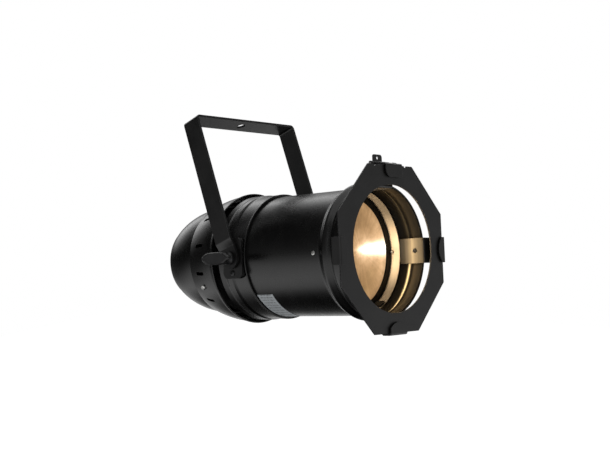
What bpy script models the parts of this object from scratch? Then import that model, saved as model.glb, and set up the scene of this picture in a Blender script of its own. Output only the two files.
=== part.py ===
"""A zoom par can light: a tubular lamp housing that tilts in a bent strap yoke.

Lengths are in millimetres and are turned into Blender's metres when a mesh is made.
The origin is the clamp-bolt hole in the outer face of the yoke's crossbar, which is where
the lamp hangs. +Z is up and the beam leaves towards -Y.

The housing is described in its own frame, the can frame: its Y axis is the beam axis,
with y = 0 in the plane of the octagonal gel frame and +y towards the rear.
"""

import math

import bmesh
import bpy
from mathutils import Matrix, Vector

MM = 0.001

# Gel frame and the clips that hold it
GEL_WIDTH = 190.0
GEL_HEIGHT = 189.0
GEL_FLAT = 81.0
GEL_THICK = 1.6
GEL_OPENING_R = 72.3
GEL_RISE = 1.8
CLIP_WIDTH = 30.0
CLIP_THICK = 1.4
CLIP_ROOT_Y = 44.6
CLIP_BACK_Y = 10.0
CLIP_FRONT_Y = -3.6
CLIP_ROOT_R = 72.3
CLIP_SIDE_TAB = 12.5
CLIP_BOTTOM_TAB = 14.8
CLIP_TAB_R = 20.5
EDGE_PLAY = 1.1

# Housing, front to rear: (start, end) along the beam axis and radii
SEGMENTS = 40
WALL = 1.3
GAP = 0.3
COLLAR_FRONT_Y = 12.0
COLLAR_REAR_Y = 48.0
COLLAR_FRONT_R = 75.6
COLLAR_REAR_R = 75.0
TUBE_FRONT_Y = 45.0
TUBE_REAR_Y = 190.0
TUBE_R = 73.3
RING_FRONT_Y = 161.0
RING_REAR_Y = 205.0
RING_R = 75.9
RING_BEAD_R = 76.9
BAND_FRONT_Y = 212.0
BAND_REAR_Y = 263.0
BAND_LIP_R = 81.0
DOME_FRONT_Y = 252.0
DOME_REAR_Y = 326.0
DOME_R = 68.2
DOME_CENTRE_Y = 254.0
DOME_LENGTH = 98.0
DOME_LIP_R = 43.2

# Rating label on the tube's left flank: rear end and the angles it covers
LABEL_Y = (135.0, 159.5)
LABEL_ANGLES = (217.5, 261.0)

# Yoke
PIVOT_Y = 178.5
PIVOT_Z = -0.8
YOKE_LEAN = math.radians(18.2)
YOKE_HEIGHT = 182.0
YOKE_HALF_WIDTH = 87.0
STRAP_WIDTH = 25.4
STRAP_THICK = 3.0
STRAP_BEND_R = 4.0
FOOT_INNER_X = 80.9
CRANK_LOW = 13.0
CRANK_HIGH = 21.0
CLAMP_HOLE_R = 5.5
STUD_R = 3.9
STUD_HOLE_R = 4.3

# Pivot brackets and knobs
PAD_HALF_Y = 15.5
PAD_HALF_Z = 24.0
PAD_FACE_X = 79.0
PAD_SCREW_Z = 17.5
KNOB_HUB_R = 8.0
KNOB_BAR_X = 103.0
KNOB_FACE_X = 109.0
KNOB_HALF_LENGTH = 22.8
KNOB_HALF_HEIGHT = 7.4
STUD_END_X = 67.0

# Lens and its sliding carriage
LENS_R = 68.1
LENS_FRONT_Y = 60.5
LENS_EDGE = 4.0
LENS_BULGE = 16.0
LENS_BULGE_R = 59.0
LENS_RING_R = 64.0
CARRIAGE_R = 71.4
CARRIAGE_REAR_Y = 96.0
TONGUE_FRONT_Y = 46.2
ZOOM_TRAVEL = 50.0
ZOOM_STUD_Y = 78.0
ZOOM_ANGLE = math.radians(-60.0)
ZOOM_SLOT = (48.0, 132.0)
ZOOM_SLOT_WIDTH = 7.0
STOP_SCREW_Y = 56.0

# Light engine and electronics
LED_Y = 152.0
SINK_Y = (155.0, 198.7)
SINK_R = 64.0
SINK_FINS = 9
BULKHEAD_Y = (199.0, 201.0)
FAN_Y = (201.3, 226.3)
FAN_SIZE = 80.0
PANEL_Y = (322.2, 324.3)
PANEL_R = 45.0
DISPLAY_Z = 27.0
BUTTON_Z = 13.0
BUTTON_PITCH = 11.0
SOCKET_Z = -6.0
SOCKET_X = 15.5
INLET_Z = -30.0

# Vents and screws around the rear band
VENT_Y = 241.0
VENT_SIZE = (16.4, 4.4)
VENT_ANGLES = (-41.0, -13.0, 13.0, 41.0)
BAND_SCREW_Y = 240.2
BAND_SCREW_ANGLES = (-26.0, 55.0, 125.0, 206.0)

# Top latch hinge
LATCH_AXIS = (10.5, 99.0)
LATCH_TAB = 16.0
LATCH_SPAN = (-11.5, 18.5)
LATCH_EAR = (-16.0, 0.0)
LATCH_EAR_TOP = 109.0
BARREL_R = 2.2
PIN_R = 1.0


# ---------------------------------------------------------------- materials

def material(name, colour, roughness, metallic):
    made = bpy.data.materials.new(name)
    made.use_nodes = True
    shader = made.node_tree.nodes["Principled BSDF"]
    shader.inputs["Base Color"].default_value = (*colour, 1.0)
    shader.inputs["Roughness"].default_value = roughness
    shader.inputs["Metallic"].default_value = metallic
    return made


FINISHES = {
    "black_paint": ((0.018, 0.018, 0.018), 0.38, 0.0),
    "black_steel": ((0.022, 0.022, 0.023), 0.45, 0.4),
    "black_plastic": ((0.012, 0.012, 0.012), 0.5, 0.0),
    "zinc": ((0.62, 0.62, 0.6), 0.3, 1.0),
    "aluminium": ((0.72, 0.72, 0.73), 0.35, 1.0),
    "lens_glass": ((0.95, 0.9, 0.8), 0.12, 0.0),
    "led_yellow": ((0.95, 0.75, 0.2), 0.4, 0.0),
    "board_green": ((0.02, 0.16, 0.06), 0.5, 0.0),
    "label_grey": ((0.42, 0.42, 0.41), 0.55, 0.0),
    "fibre": ((0.09, 0.08, 0.07), 0.85, 0.0),
    "display": ((0.05, 0.09, 0.16), 0.15, 0.0),
}


# ---------------------------------------------------------------- modelling helpers

def clear_scene():
    for thing in list(bpy.data.objects):
        bpy.data.objects.remove(thing, do_unlink=True)


def empty(name, location, parent=None, lean=0.0):
    holder = bpy.data.objects.new(name, None)
    bpy.context.scene.collection.objects.link(holder)
    holder.parent = parent
    holder.location = Vector(location) * MM
    holder.rotation_euler = (lean, 0.0, 0.0)
    return holder


def solid(name, shape, finish, parent, location=(0.0, 0.0, 0.0)):
    """Turn a bmesh in millimetres into a named, smooth-shaded object; it frees the bmesh."""
    bmesh.ops.recalc_face_normals(shape, faces=shape.faces)
    bmesh.ops.scale(shape, vec=(MM, MM, MM), verts=shape.verts)
    mesh = bpy.data.meshes.new(name)
    shape.to_mesh(mesh)
    shape.free()
    mesh.shade_smooth()
    mesh.set_sharp_from_angle(angle=math.radians(35.0))
    mesh.materials.append(material(name, *FINISHES[finish]))
    thing = bpy.data.objects.new(name, mesh)
    bpy.context.scene.collection.objects.link(thing)
    thing.parent = parent
    thing.location = Vector(location) * MM
    return thing


def combine(target, shape, operation):
    """Join, cut or trim an object with a hidden operand that shares its place."""
    name = f"{target.name}_{operation.lower()}_{len(target.modifiers)}"
    operand = solid(name, shape, "zinc", target.parent, target.location / MM)
    operand.hide_render = True
    operand.display_type = "WIRE"
    step = target.modifiers.new(name, "BOOLEAN")
    step.operation = operation
    step.solver = "EXACT"
    step.object = operand


def cut(target, shape):
    combine(target, shape, "DIFFERENCE")


def join(target, shape):
    combine(target, shape, "UNION")


def trim(target, shape):
    combine(target, shape, "INTERSECT")


def merged(*shapes):
    """Several bmeshes as one, still as separate bodies."""
    whole = bmesh.new()
    for shape in shapes:
        mesh = bpy.data.meshes.new("part_of_a_shape")
        shape.to_mesh(mesh)
        shape.free()
        whole.from_mesh(mesh)
        bpy.data.meshes.remove(mesh)
    return whole


def turned(outline, segments=SEGMENTS):
    """Turn (y, r) points about the Y axis, with a flat at each quarter turn. r = 0 closes an end."""
    shape = bmesh.new()
    rings = []
    for y, r in outline:
        if r == 0.0:
            rings.append([shape.verts.new((0.0, y, 0.0))] * segments)
            continue
        angles = [math.tau * (number + 0.5) / segments for number in range(segments)]
        rings.append([shape.verts.new((r * math.cos(a), y, r * math.sin(a))) for a in angles])
    pairs = list(zip(rings, rings[1:]))
    if outline[0][1] > 0.0:
        pairs.append((rings[-1], rings[0]))
    for first, second in pairs:
        for here in range(segments):
            after = (here + 1) % segments
            corners = (first[here], first[after], second[after], second[here])
            shape.faces.new(list(dict.fromkeys(corners)))
    return shape


def slab(outline, low, high, axis="Y", taper=1.0):
    """Extrude a flat outline along an axis. Its points are in the two other axes' order."""
    order = {"X": (2, 0, 1), "Y": (0, 2, 1), "Z": (0, 1, 2)}[axis]

    def place(a, b, c):
        spot = (a, b, c)
        return tuple(spot[i] for i in order)

    shape = bmesh.new()
    start = shape.faces.new([shape.verts.new(place(a, b, low)) for a, b in outline])
    grown = bmesh.ops.extrude_face_region(shape, geom=[start])
    ends = [item for item in grown["geom"] if isinstance(item, bmesh.types.BMVert)]
    bmesh.ops.translate(shape, verts=ends, vec=place(0.0, 0.0, high - low))
    middle = Vector(place(0.0, 0.0, high))
    bmesh.ops.scale(
        shape, verts=ends, vec=place(taper, taper, 1.0), space=Matrix.Translation(-middle)
    )
    return shape


def arc(centre, radius, start, end, steps):
    """Points on a circular arc, angles in degrees, both ends included."""
    points = []
    for step in range(steps + 1):
        angle = math.radians(start + (end - start) * step / steps)
        points.append((centre[0] + radius * math.cos(angle), centre[1] + radius * math.sin(angle)))
    return points


def circle(centre, radius, sides):
    return arc(centre, radius, 0.0, 360.0, sides)[:-1]


def rounded_box(low, high, radii, steps=4):
    """Rectangle outline whose corner radii go bottom-left, bottom-right, top-right, top-left."""
    corners = ((low[0], low[1]), (high[0], low[1]), (high[0], high[1]), (low[0], high[1]))
    inwards = ((1, 1), (-1, 1), (-1, -1), (1, -1))
    points = []
    for number, (corner, inward, radius) in enumerate(zip(corners, inwards, radii)):
        if radius == 0.0:
            points.append(corner)
            continue
        centre = (corner[0] + inward[0] * radius, corner[1] + inward[1] * radius)
        points += arc(centre, radius, 180.0 + 90.0 * number, 270.0 + 90.0 * number, steps)
    return points


def box(low, high):
    return slab([(low[0], low[2]), (high[0], low[2]), (high[0], high[2]), (low[0], high[2])],
                low[1], high[1])


def mirrored(shape, side):
    """Reflect in X for the left side, which is at -X."""
    if side < 0:
        bmesh.ops.scale(shape, vec=(-1.0, 1.0, 1.0), verts=shape.verts)
        bmesh.ops.reverse_faces(shape, faces=shape.faces)
    return shape


def spun(shape, angle):
    """Turn a shape made at +X about the beam axis, so that angle 0 stays at +X and 90 is up."""
    bmesh.ops.rotate(shape, verts=shape.verts, cent=(0.0, 0.0, 0.0),
                     matrix=Matrix.Rotation(-math.radians(angle), 3, "Y"))
    return shape


def screw(head_r, head_height, shank_r, shank_length, sides=16):
    """A domed screw along +X, its head's seat at x = 0 and its shank towards -X."""
    outline = [(-shank_length, 0.0), (-shank_length, shank_r), (0.0, shank_r), (0.0, head_r),
               (head_height * 0.6, head_r * 0.86), (head_height, head_r * 0.45),
               (head_height, 0.0)]
    shape = turned(outline, sides)
    bmesh.ops.rotate(shape, verts=shape.verts, cent=(0.0, 0.0, 0.0),
                     matrix=Matrix.Rotation(-math.pi / 2, 3, "Z"))
    return shape


def moved(shape, offset):
    bmesh.ops.translate(shape, verts=shape.verts, vec=offset)
    return shape


# ---------------------------------------------------------------- housing profiles

def bump(y, centre, half_width, height):
    reach = abs(y - centre) / half_width
    return height * math.cos(reach * math.pi / 2) ** 2 if reach < 1.0 else 0.0


def collar_radius(y):
    """Outer radius of the front collar: a large rear bead, a narrow groove and a front roll."""
    along = (y - COLLAR_FRONT_Y) / (COLLAR_REAR_Y - COLLAR_FRONT_Y)
    plain = COLLAR_FRONT_R + (COLLAR_REAR_R - COLLAR_FRONT_R) * along
    shoulder = 1.5 * max(0.0, 1.0 - ((y - 20.5) / 8.5) ** 4)
    return plain + bump(y, 37.0, 9.5, 4.1) + shoulder


def band_radius(y):
    """Outer radius of the vented rear band, which curves in towards the dome."""
    along = (y - 216.0) / (BAND_REAR_Y - 216.0)
    return 79.6 - 2.6 * along - 7.45 * along ** 2


def dome_radius(y):
    along = max(0.0, (y - DOME_CENTRE_Y) / DOME_LENGTH)
    return DOME_R * math.sqrt(1.0 - along ** 2)


def skin(stations, radius, wall):
    """Closed outline of a turned sheet: outside front to rear, then inside back again."""
    outside = [(y, radius(y)) for y in stations]
    inside = [(y, r - wall) for y, r in reversed(outside)]
    return outside + inside


# ---------------------------------------------------------------- housing

def front_tube(can):
    inner = TUBE_R - WALL
    tube = solid("front_tube", turned([(TUBE_FRONT_Y, TUBE_R), (TUBE_REAR_Y, TUBE_R),
                                       (TUBE_REAR_Y, inner), (TUBE_FRONT_Y, inner)]),
                 "black_paint", can)
    half = ZOOM_SLOT_WIDTH / 2
    ends = arc((half, ZOOM_SLOT[1] - half), half, 0.0, 180.0, 6)
    starts = arc((half, ZOOM_SLOT[0] + half), half, 180.0, 360.0, 6)
    outline = [(y, x - half) for x, y in ends + starts]
    slot = slab(outline, TUBE_R - 8.0, TUBE_R + 8.0, "X")
    cut(tube, spun(slot, math.degrees(ZOOM_ANGLE)))
    cut(tube, cross_holes(STOP_SCREW_Y, 0.0, 1.9))
    cut(tube, cross_holes(PIVOT_Y, PIVOT_Z, STUD_HOLE_R))
    for z in (PIVOT_Z - PAD_SCREW_Z, PIVOT_Z + PAD_SCREW_Z):
        cut(tube, cross_holes(PIVOT_Y, z, 2.2))


def cross_holes(y, z, radius, sides=16):
    """Cutter for a hole through both sides of the housing, along X."""
    outline = circle((y, z), radius, sides)
    return merged(slab(outline, 60.0, 90.0, "X"), slab(outline, -90.0, -60.0, "X"))


def label(can):
    """Blank rating label that follows the tube's flank."""
    low, high = TUBE_R + 0.25, TUBE_R + 0.65
    front, rear = LABEL_Y
    sheet = solid("label", turned([(front, high), (rear, high), (rear, low), (front, low)]),
                  "label_grey", can)
    wedge = [(0.0, 0.0)] + arc((0.0, 0.0), 100.0, *LABEL_ANGLES, 3)
    trim(sheet, slab(wedge, front - 5.0, rear + 5.0))


def front_collar(can):
    stations = (12.0, 13.6, 17.0, 24.0, 27.0, 29.2, 33.0, 37.0, 41.0, 46.0, COLLAR_REAR_Y)
    collar = solid("front_collar", turned(skin(stations, collar_radius, 1.2)),
                   "black_paint", can)
    for angle in (0.0, 90.0, 180.0, 270.0):
        hole = slab(circle((22.0, 0.0), 1.9, 12), 68.0, 84.0, "X")
        cut(collar, spun(hole, angle))


def rear_ring(can):
    ring = solid("rear_ring", turned([
        (RING_FRONT_Y, RING_R), (183.0, RING_R), (185.0, RING_BEAD_R), (195.0, RING_BEAD_R),
        (197.0, RING_R + 0.2), (RING_REAR_Y, RING_BEAD_R), (RING_REAR_Y, RING_R - 0.3),
        (TUBE_REAR_Y + 1.5, TUBE_R + 1.3), (TUBE_REAR_Y + 1.5, TUBE_R + GAP),
        (RING_FRONT_Y, TUBE_R + GAP)]), "black_paint", can)
    cut(ring, cross_holes(PIVOT_Y, PIVOT_Z, STUD_HOLE_R))
    for z in (PIVOT_Z - PAD_SCREW_Z, PIVOT_Z + PAD_SCREW_Z):
        cut(ring, cross_holes(PIVOT_Y, z, 2.2))


def rear_band(can):
    stations = (216.0, 228.0, 239.0, 251.0, BAND_REAR_Y)
    body = skin(stations, band_radius, WALL)
    lip = [(BAND_FRONT_Y, BAND_LIP_R - WALL), (BAND_FRONT_Y, BAND_LIP_R), (213.6, BAND_LIP_R)]
    band = solid("rear_band", turned(lip + body), "black_paint", can)
    half_long, half_wide = VENT_SIZE[0] / 2, VENT_SIZE[1] / 2
    vents = []
    for side in (0.0, 180.0):
        for angle in VENT_ANGLES:
            outline = rounded_box((VENT_Y - half_long, -half_wide),
                                  (VENT_Y + half_long, half_wide), (1.8,) * 4, 2)
            vents.append(spun(slab(outline, 65.0, 85.0, "X"), side + angle))
    cut(band, merged(*vents))
    holes = [spun(slab(circle((BAND_SCREW_Y, 0.0), 2.1, 12), 65.0, 85.0, "X"), angle)
             for angle in BAND_SCREW_ANGLES]
    cut(band, merged(*holes))


def rear_dome(can):
    stations = (DOME_FRONT_Y, 268.0, 284.0, 298.0, 310.0, 319.0, DOME_REAR_Y)
    outside = [(y, dome_radius(y)) for y in stations]
    inside = [(y, dome_radius(y) - WALL - 0.004 * (y - DOME_FRONT_Y)) for y in stations[:-1]]
    last = DOME_REAR_Y - WALL
    lip = [(DOME_REAR_Y, DOME_LIP_R), (last, DOME_LIP_R), (last, dome_radius(last) - 1.9)]
    solid("rear_dome", turned(outside + lip + inside[::-1]), "black_paint", can)


def rear_panel(can):
    panel = solid("rear_panel", slab(circle((0.0, 0.0), PANEL_R, SEGMENTS), *PANEL_Y),
                  "black_steel", can)
    low, high = PANEL_Y[0] - 2.0, PANEL_Y[1] + 2.0
    cut(panel, slab(rounded_box((-15.0, DISPLAY_Z - 7.0), (15.0, DISPLAY_Z + 7.0),
                                (1.0,) * 4, 2), low, high))
    for x in button_places():
        cut(panel, slab(circle((x, BUTTON_Z), 3.4, 16), low, high))
    for x in (-SOCKET_X, SOCKET_X):
        cut(panel, slab(circle((x, SOCKET_Z), 10.9, 24), low, high))
    cut(panel, slab(inlet_outline(0.4), low, high))


def button_places():
    return [(number - 1.5) * BUTTON_PITCH for number in range(4)]


def inlet_outline(grow):
    """The mains inlet's body: a rectangle with its two upper corners cut off."""
    wide, low, high, chamfer = 13.2 + grow, INLET_Z - 9.2 - grow, INLET_Z + 9.2 + grow, 5.0
    return [(-wide, low), (wide, low), (wide, high - chamfer), (wide - chamfer, high),
            (chamfer - wide, high), (-wide, high - chamfer)]


# ---------------------------------------------------------------- pivots

def pivot_bracket(can, name, side):
    """Pad that turns the round housing into a flat seat for the yoke."""
    outline = rounded_box((PIVOT_Y - PAD_HALF_Y, PIVOT_Z - PAD_HALF_Z),
                          (PIVOT_Y + PAD_HALF_Y, PIVOT_Z + PAD_HALF_Z), (7.0,) * 4, 3)
    pad = solid(name, mirrored(slab(outline, 66.0, PAD_FACE_X, "X"), side), "black_steel", can)
    middle = Vector((0.0, PIVOT_Y, 0.0))
    clearance = turned([(-30.0, 0.0), (-30.0, RING_BEAD_R + GAP), (30.0, RING_BEAD_R + GAP),
                        (30.0, 0.0)])
    cut(pad, moved(clearance, middle))
    cut(pad, cross_holes(PIVOT_Y, PIVOT_Z, STUD_HOLE_R))
    for z in (PIVOT_Z - PAD_SCREW_Z, PIVOT_Z + PAD_SCREW_Z):
        cut(pad, cross_holes(PIVOT_Y, z, 2.2))


def bracket_screws(can, name, side):
    for place, z in (("upper", PIVOT_Z + PAD_SCREW_Z), ("lower", PIVOT_Z - PAD_SCREW_Z)):
        shape = moved(screw(3.4, 1.3, 1.9, 8.6), (PAD_FACE_X + GAP / 2, PIVOT_Y, z))
        solid(f"bracket_screw_{name}_{place}", mirrored(shape, side), "black_steel", can)


def stop_screw(can, name, side):
    shape = moved(screw(3.2, 1.6, 1.6, 4.0), (TUBE_R + GAP / 2, STOP_SCREW_Y, 0.0))
    solid(name, mirrored(shape, side), "zinc", can)


def pivot_knob(pivot, name, side):
    """T-knob: a stud through yoke and bracket, a hub and a long six-sided bar."""
    seat = FOOT_INNER_X + STRAP_THICK + GAP
    profile = [(STUD_END_X, 0.0), (STUD_END_X, STUD_R), (seat, STUD_R), (seat, KNOB_HUB_R),
               (seat + 3.0, KNOB_HUB_R), (seat + 5.0, KNOB_HUB_R - 1.5),
               (KNOB_BAR_X + 1.0, KNOB_HUB_R - 2.2), (KNOB_BAR_X + 1.0, 0.0)]
    shape = turned(profile, 20)
    bmesh.ops.rotate(shape, verts=shape.verts, cent=(0.0, 0.0, 0.0),
                     matrix=Matrix.Rotation(-math.pi / 2, 3, "Z"))
    knob = solid(name, mirrored(shape, side), "black_plastic", pivot)
    shoulder = 0.62 * KNOB_HALF_LENGTH
    quarter = [(KNOB_HALF_LENGTH, 0.0), (shoulder, KNOB_HALF_HEIGHT * 0.86),
               (shoulder * 0.4, KNOB_HALF_HEIGHT)]
    upper = quarter + [(-y, z) for y, z in reversed(quarter)]
    outline = upper + [(y, -z) for y, z in reversed(upper[1:-1])]
    bar = slab(outline, KNOB_FACE_X, KNOB_BAR_X, "X", taper=0.84)
    join(knob, mirrored(bar, side))


def pivot_washer(pivot, name, side):
    shape = slab(circle((0.0, 0.0), 11.0, 24), PAD_FACE_X + GAP, FOOT_INNER_X - GAP, "X")
    washer = solid(name, mirrored(shape, side), "fibre", pivot)
    cut(washer, mirrored(slab(circle((0.0, 0.0), STUD_HOLE_R, 16), 70.0, 90.0, "X"), side))


def yoke(frame):
    """Bent strap in its own frame: origin on the pivot axis, +Z up the arms."""
    outer, inner = YOKE_HALF_WIDTH, YOKE_HALF_WIDTH - STRAP_THICK
    foot_in, foot_out = FOOT_INNER_X, FOOT_INNER_X + STRAP_THICK
    top, under = YOKE_HEIGHT, YOKE_HEIGHT - STRAP_THICK
    foot = -STRAP_WIDTH / 2
    bend_out = arc((outer - STRAP_BEND_R, top - STRAP_BEND_R), STRAP_BEND_R, 0.0, 90.0, 4)
    right_out = [(foot_out, foot), (foot_out, CRANK_LOW), (outer, CRANK_HIGH)] + bend_out
    right_in = [(inner - 1.5, under), (inner, under - 1.5), (inner, CRANK_HIGH + 0.8),
                (foot_in, CRANK_LOW + 0.8), (foot_in, foot)]
    outline = right_out + [(-x, z) for x, z in reversed(right_out)]
    outline += [(-x, z) for x, z in reversed(right_in)] + right_in
    half = STRAP_WIDTH / 2
    strap = solid("yoke", slab(outline, -half, half), "black_paint", frame)
    round_feet = arc((0.0, 0.0), half, 180.0, 360.0, 10) + [(half, top + 5.0), (-half, top + 5.0)]
    trim(strap, slab(round_feet, -outer - 5.0, outer + 5.0, "X"))
    cut(strap, slab(circle((0.0, 0.0), STUD_HOLE_R, 16), -outer - 5.0, outer + 5.0, "X"))
    cut(strap, slab(circle((0.0, 0.0), CLAMP_HOLE_R, 20), under - 5.0, top + 5.0, "Z"))


# ---------------------------------------------------------------- gel frame and clips

def gel_frame(can):
    wide, tall, flat = GEL_WIDTH / 2, GEL_HEIGHT / 2, GEL_FLAT / 2
    corners = [(flat, tall), (wide, flat), (wide, -flat), (flat, -tall),
               (-flat, -tall), (-wide, -flat), (-wide, flat), (-flat, tall)]
    outline = [(x, z + GEL_RISE) for x, z in corners]
    half = GEL_THICK / 2
    plate = solid("gel_frame", slab(outline, -half, half), "black_steel", can)
    cut(plate, slab(circle((0.0, GEL_RISE), GEL_OPENING_R, SEGMENTS), -5.0, 5.0))
    for x in (-27.8, 27.8):
        cut(plate, slab(circle((x, tall + GEL_RISE + 0.6), 2.6, 12), -5.0, 5.0))


def clip_section(reach, tab=0.0):
    """(y, r) outline of a clip: root inside the collar, arm outwards, and the hook in front."""
    thick = CLIP_THICK
    back = CLIP_BACK_Y
    root_in = CLIP_ROOT_R - thick
    outline = [(CLIP_ROOT_Y, root_in), (CLIP_ROOT_Y, CLIP_ROOT_R), (back, CLIP_ROOT_R)]
    if tab:
        front = CLIP_FRONT_Y
        tip = reach - tab
        outline += [(back, reach), (front, reach), (front, tip), (front + thick, tip),
                    (front + thick, reach - thick), (back - thick, reach - thick)]
    else:
        outline += [(back, reach), (back - thick, reach)]
    return outline + [(back - thick, root_in)]


def clip(can, name, angle, reach, tab):
    """Hook-shaped strip for the gel frame's edge, with a round-ended front tab."""
    half = CLIP_WIDTH / 2
    section = slab([(r, y) for y, r in clip_section(reach, tab + 0.4)], -half, half, "Z")
    strip = solid(name, spun(section, angle), "black_steel", can)
    edge = half + 0.4
    centre = reach - tab + CLIP_TAB_R
    swing = math.degrees(math.asin(edge / CLIP_TAB_R))
    tip = arc((centre, 0.0), CLIP_TAB_R, 180.0 - swing, 180.0 + swing, 8)
    shape = [(-20.0, edge), (-20.0, -edge), (reach + 5.0, -edge), (reach + 5.0, edge)]
    front = slab(shape, CLIP_FRONT_Y + CLIP_THICK + 0.4, CLIP_ROOT_Y + 5.0)
    nose = slab([(reach + 6.0, -edge)] + [(x, -z) for x, z in tip]
                + [(reach + 6.0, edge)], CLIP_FRONT_Y - 3.0, CLIP_ROOT_Y + 4.0)
    keep = solid(f"{name}_keep", spun(front, angle), "zinc", can)
    keep.hide_render = True
    keep.display_type = "WIRE"
    join(keep, spun(nose, angle))
    step = strip.modifiers.new("round tab", "BOOLEAN")
    step.operation = "INTERSECT"
    step.object = keep
    hole = slab(circle((22.0, 0.0), 1.9, 12), 65.0, 80.0, "X")
    cut(strip, spun(hole, angle))


def clip_rivet(can, name, angle):
    """Screw seen on the inside of a clip's root; its shank goes out through the collar."""
    shape = screw(2.9, 1.2, 1.6, 5.2)
    bmesh.ops.rotate(shape, verts=shape.verts, cent=(0.0, 0.0, 0.0),
                     matrix=Matrix.Rotation(math.pi, 3, "Y"))
    shape = moved(shape, (CLIP_ROOT_R - CLIP_THICK - GAP / 2, 22.0, 0.0))
    solid(name, spun(shape, angle), "zinc", can)


def latch_base(can):
    """Top clip: a fixed arm whose two knuckles carry the hinge pin."""
    axis_y, axis_z = LATCH_AXIS
    half = CLIP_WIDTH / 2
    arm_top = axis_z - BARREL_R - 0.4
    section = slab([(r, y) for y, r in clip_section(arm_top)], -half, half, "Z")
    base = solid("latch_base", spun(section, 90.0), "black_steel", can)
    for low, high in ((-22.5, -17.0), (19.0, 24.5)):
        inner = max(low, -half) if low < 0 else min(low, half - 3.0)
        outer = -half + 3.0 if low < 0 else high
        join(base, box((min(low, inner), CLIP_BACK_Y - CLIP_THICK, arm_top - 12.0),
                       (max(outer, high), CLIP_BACK_Y, arm_top - 0.2)))
        join(base, box((low, CLIP_BACK_Y - CLIP_THICK, arm_top - 2.0),
                       (high, CLIP_BACK_Y, axis_z - 1.3)))
        join(base, slab(circle((axis_y, axis_z), BARREL_R, 12), low, high, "X"))
    cut(base, slab(circle((axis_y, axis_z), PIN_R + 0.12, 12), -30.0, 30.0, "X"))
    hole = slab(circle((22.0, 0.0), 1.9, 12), 65.0, 80.0, "X")
    cut(base, spun(hole, 90.0))


def latch_flap(hinge):
    """Hinged hook with a thumb ear; its frame's origin is on the hinge pin."""
    axis_y, axis_z = LATCH_AXIS
    low, high = LATCH_SPAN
    roof_top = 98.4 - axis_z
    roof_under = roof_top - CLIP_THICK
    front = CLIP_FRONT_Y - axis_y
    barrel = slab(circle((0.0, 0.0), BARREL_R, 12), LATCH_EAR[0] - 0.5, 10.0, "X")
    flap = solid("latch_flap", barrel, "black_steel", hinge, (0.0, axis_y, axis_z))
    join(flap, box((low, -0.6, roof_under), (9.7, -3.4, roof_top)))
    join(flap, box((low, front, roof_under), (high, -3.2, roof_top)))
    tab = rounded_box((low, roof_top - LATCH_TAB), (high, roof_top), (9.0, 4.0, 0.0, 0.0))
    join(flap, slab(tab, front, front + CLIP_THICK))
    ear = rounded_box((LATCH_EAR[0], -0.5), (LATCH_EAR[1], LATCH_EAR_TOP - axis_z),
                      (0.0, 0.0, 3.4, 2.2), 3)
    join(flap, slab(ear, 0.4, 0.4 + CLIP_THICK))
    middle = (LATCH_EAR[0] + LATCH_EAR[1]) / 2
    cut(flap, slab(circle((middle, 6.0), 1.9, 12), -3.0, 6.0))
    cut(flap, slab(circle((0.0, 0.0), PIN_R + 0.15, 12), -30.0, 30.0, "X"))


def latch_pin(can):
    shape = slab(circle(LATCH_AXIS, PIN_R, 12), -23.2, 25.2, "X")
    solid("latch_pin", shape, "zinc", can)


def latch_spring(can):
    """Torsion spring on the pin between the flap and the right-hand knuckle."""
    axis_y, axis_z = LATCH_AXIS
    turns, steps, coil_r = 5, 12, 1.75
    start, end = 11.2, 17.8
    points = []
    for step in range(turns * steps + 1):
        angle = math.tau * step / steps
        x = start + (end - start) * step / (turns * steps)
        points.append((x, axis_y + coil_r * math.cos(angle), axis_z + coil_r * math.sin(angle)))
    points.insert(0, (start, axis_y + coil_r, axis_z - 5.0))
    points.append((end, axis_y + coil_r, axis_z - 6.5))
    wire = bpy.data.curves.new("latch_spring", "CURVE")
    wire.dimensions = "3D"
    wire.bevel_depth = 0.3 * MM
    wire.bevel_resolution = 0
    wire.use_fill_caps = True
    spline = wire.splines.new("POLY")
    spline.points.add(len(points) - 1)
    for spot, place in zip(spline.points, points):
        spot.co = (*(Vector(place) * MM), 1.0)
    wire.materials.append(material("latch_spring", *FINISHES["zinc"]))
    thing = bpy.data.objects.new("latch_spring", wire)
    bpy.context.scene.collection.objects.link(thing)
    thing.parent = can


# ---------------------------------------------------------------- lens carriage

def lens(carriage):
    rear = LENS_FRONT_Y + LENS_EDGE
    sphere_r = (LENS_BULGE_R ** 2 + LENS_BULGE ** 2) / (2 * LENS_BULGE)
    reach = math.degrees(math.asin(LENS_BULGE_R / sphere_r))
    centre = rear + LENS_BULGE - sphere_r
    bulge = [(y, r) for y, r in arc((centre, 0.0), sphere_r, reach, 0.0, 6)]
    bulge[-1] = (rear + LENS_BULGE, 0.0)
    outline = [(LENS_FRONT_Y, 0.0), (LENS_FRONT_Y, LENS_R), (rear, LENS_R)] + bulge
    solid("lens", turned(outline), "lens_glass", carriage, (0.0, -LENS_FRONT_Y, 0.0))


def lens_ring(carriage):
    """Ring round the lens, with a tongue that shades the front end of the zoom slot."""
    front = LENS_FRONT_Y - GAP - 2.0
    lip = LENS_FRONT_Y + LENS_EDGE
    outline = [(front, LENS_RING_R), (front, CARRIAGE_R), (lip, CARRIAGE_R),
               (lip, LENS_R + GAP), (front + 2.0, LENS_R + GAP), (front + 2.0, LENS_RING_R)]
    ring = solid("lens_ring", turned(outline), "black_paint", carriage,
                 (0.0, -LENS_FRONT_Y, 0.0))
    tongue = [(CARRIAGE_R - 1.7, TONGUE_FRONT_Y), (CARRIAGE_R - 0.4, TONGUE_FRONT_Y),
              (CARRIAGE_R - 0.4, front + 1.0), (CARRIAGE_R - 1.7, front + 1.0)]
    join(ring, spun(slab(tongue, -5.5, 5.5, "Z"), math.degrees(ZOOM_ANGLE)))


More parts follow.
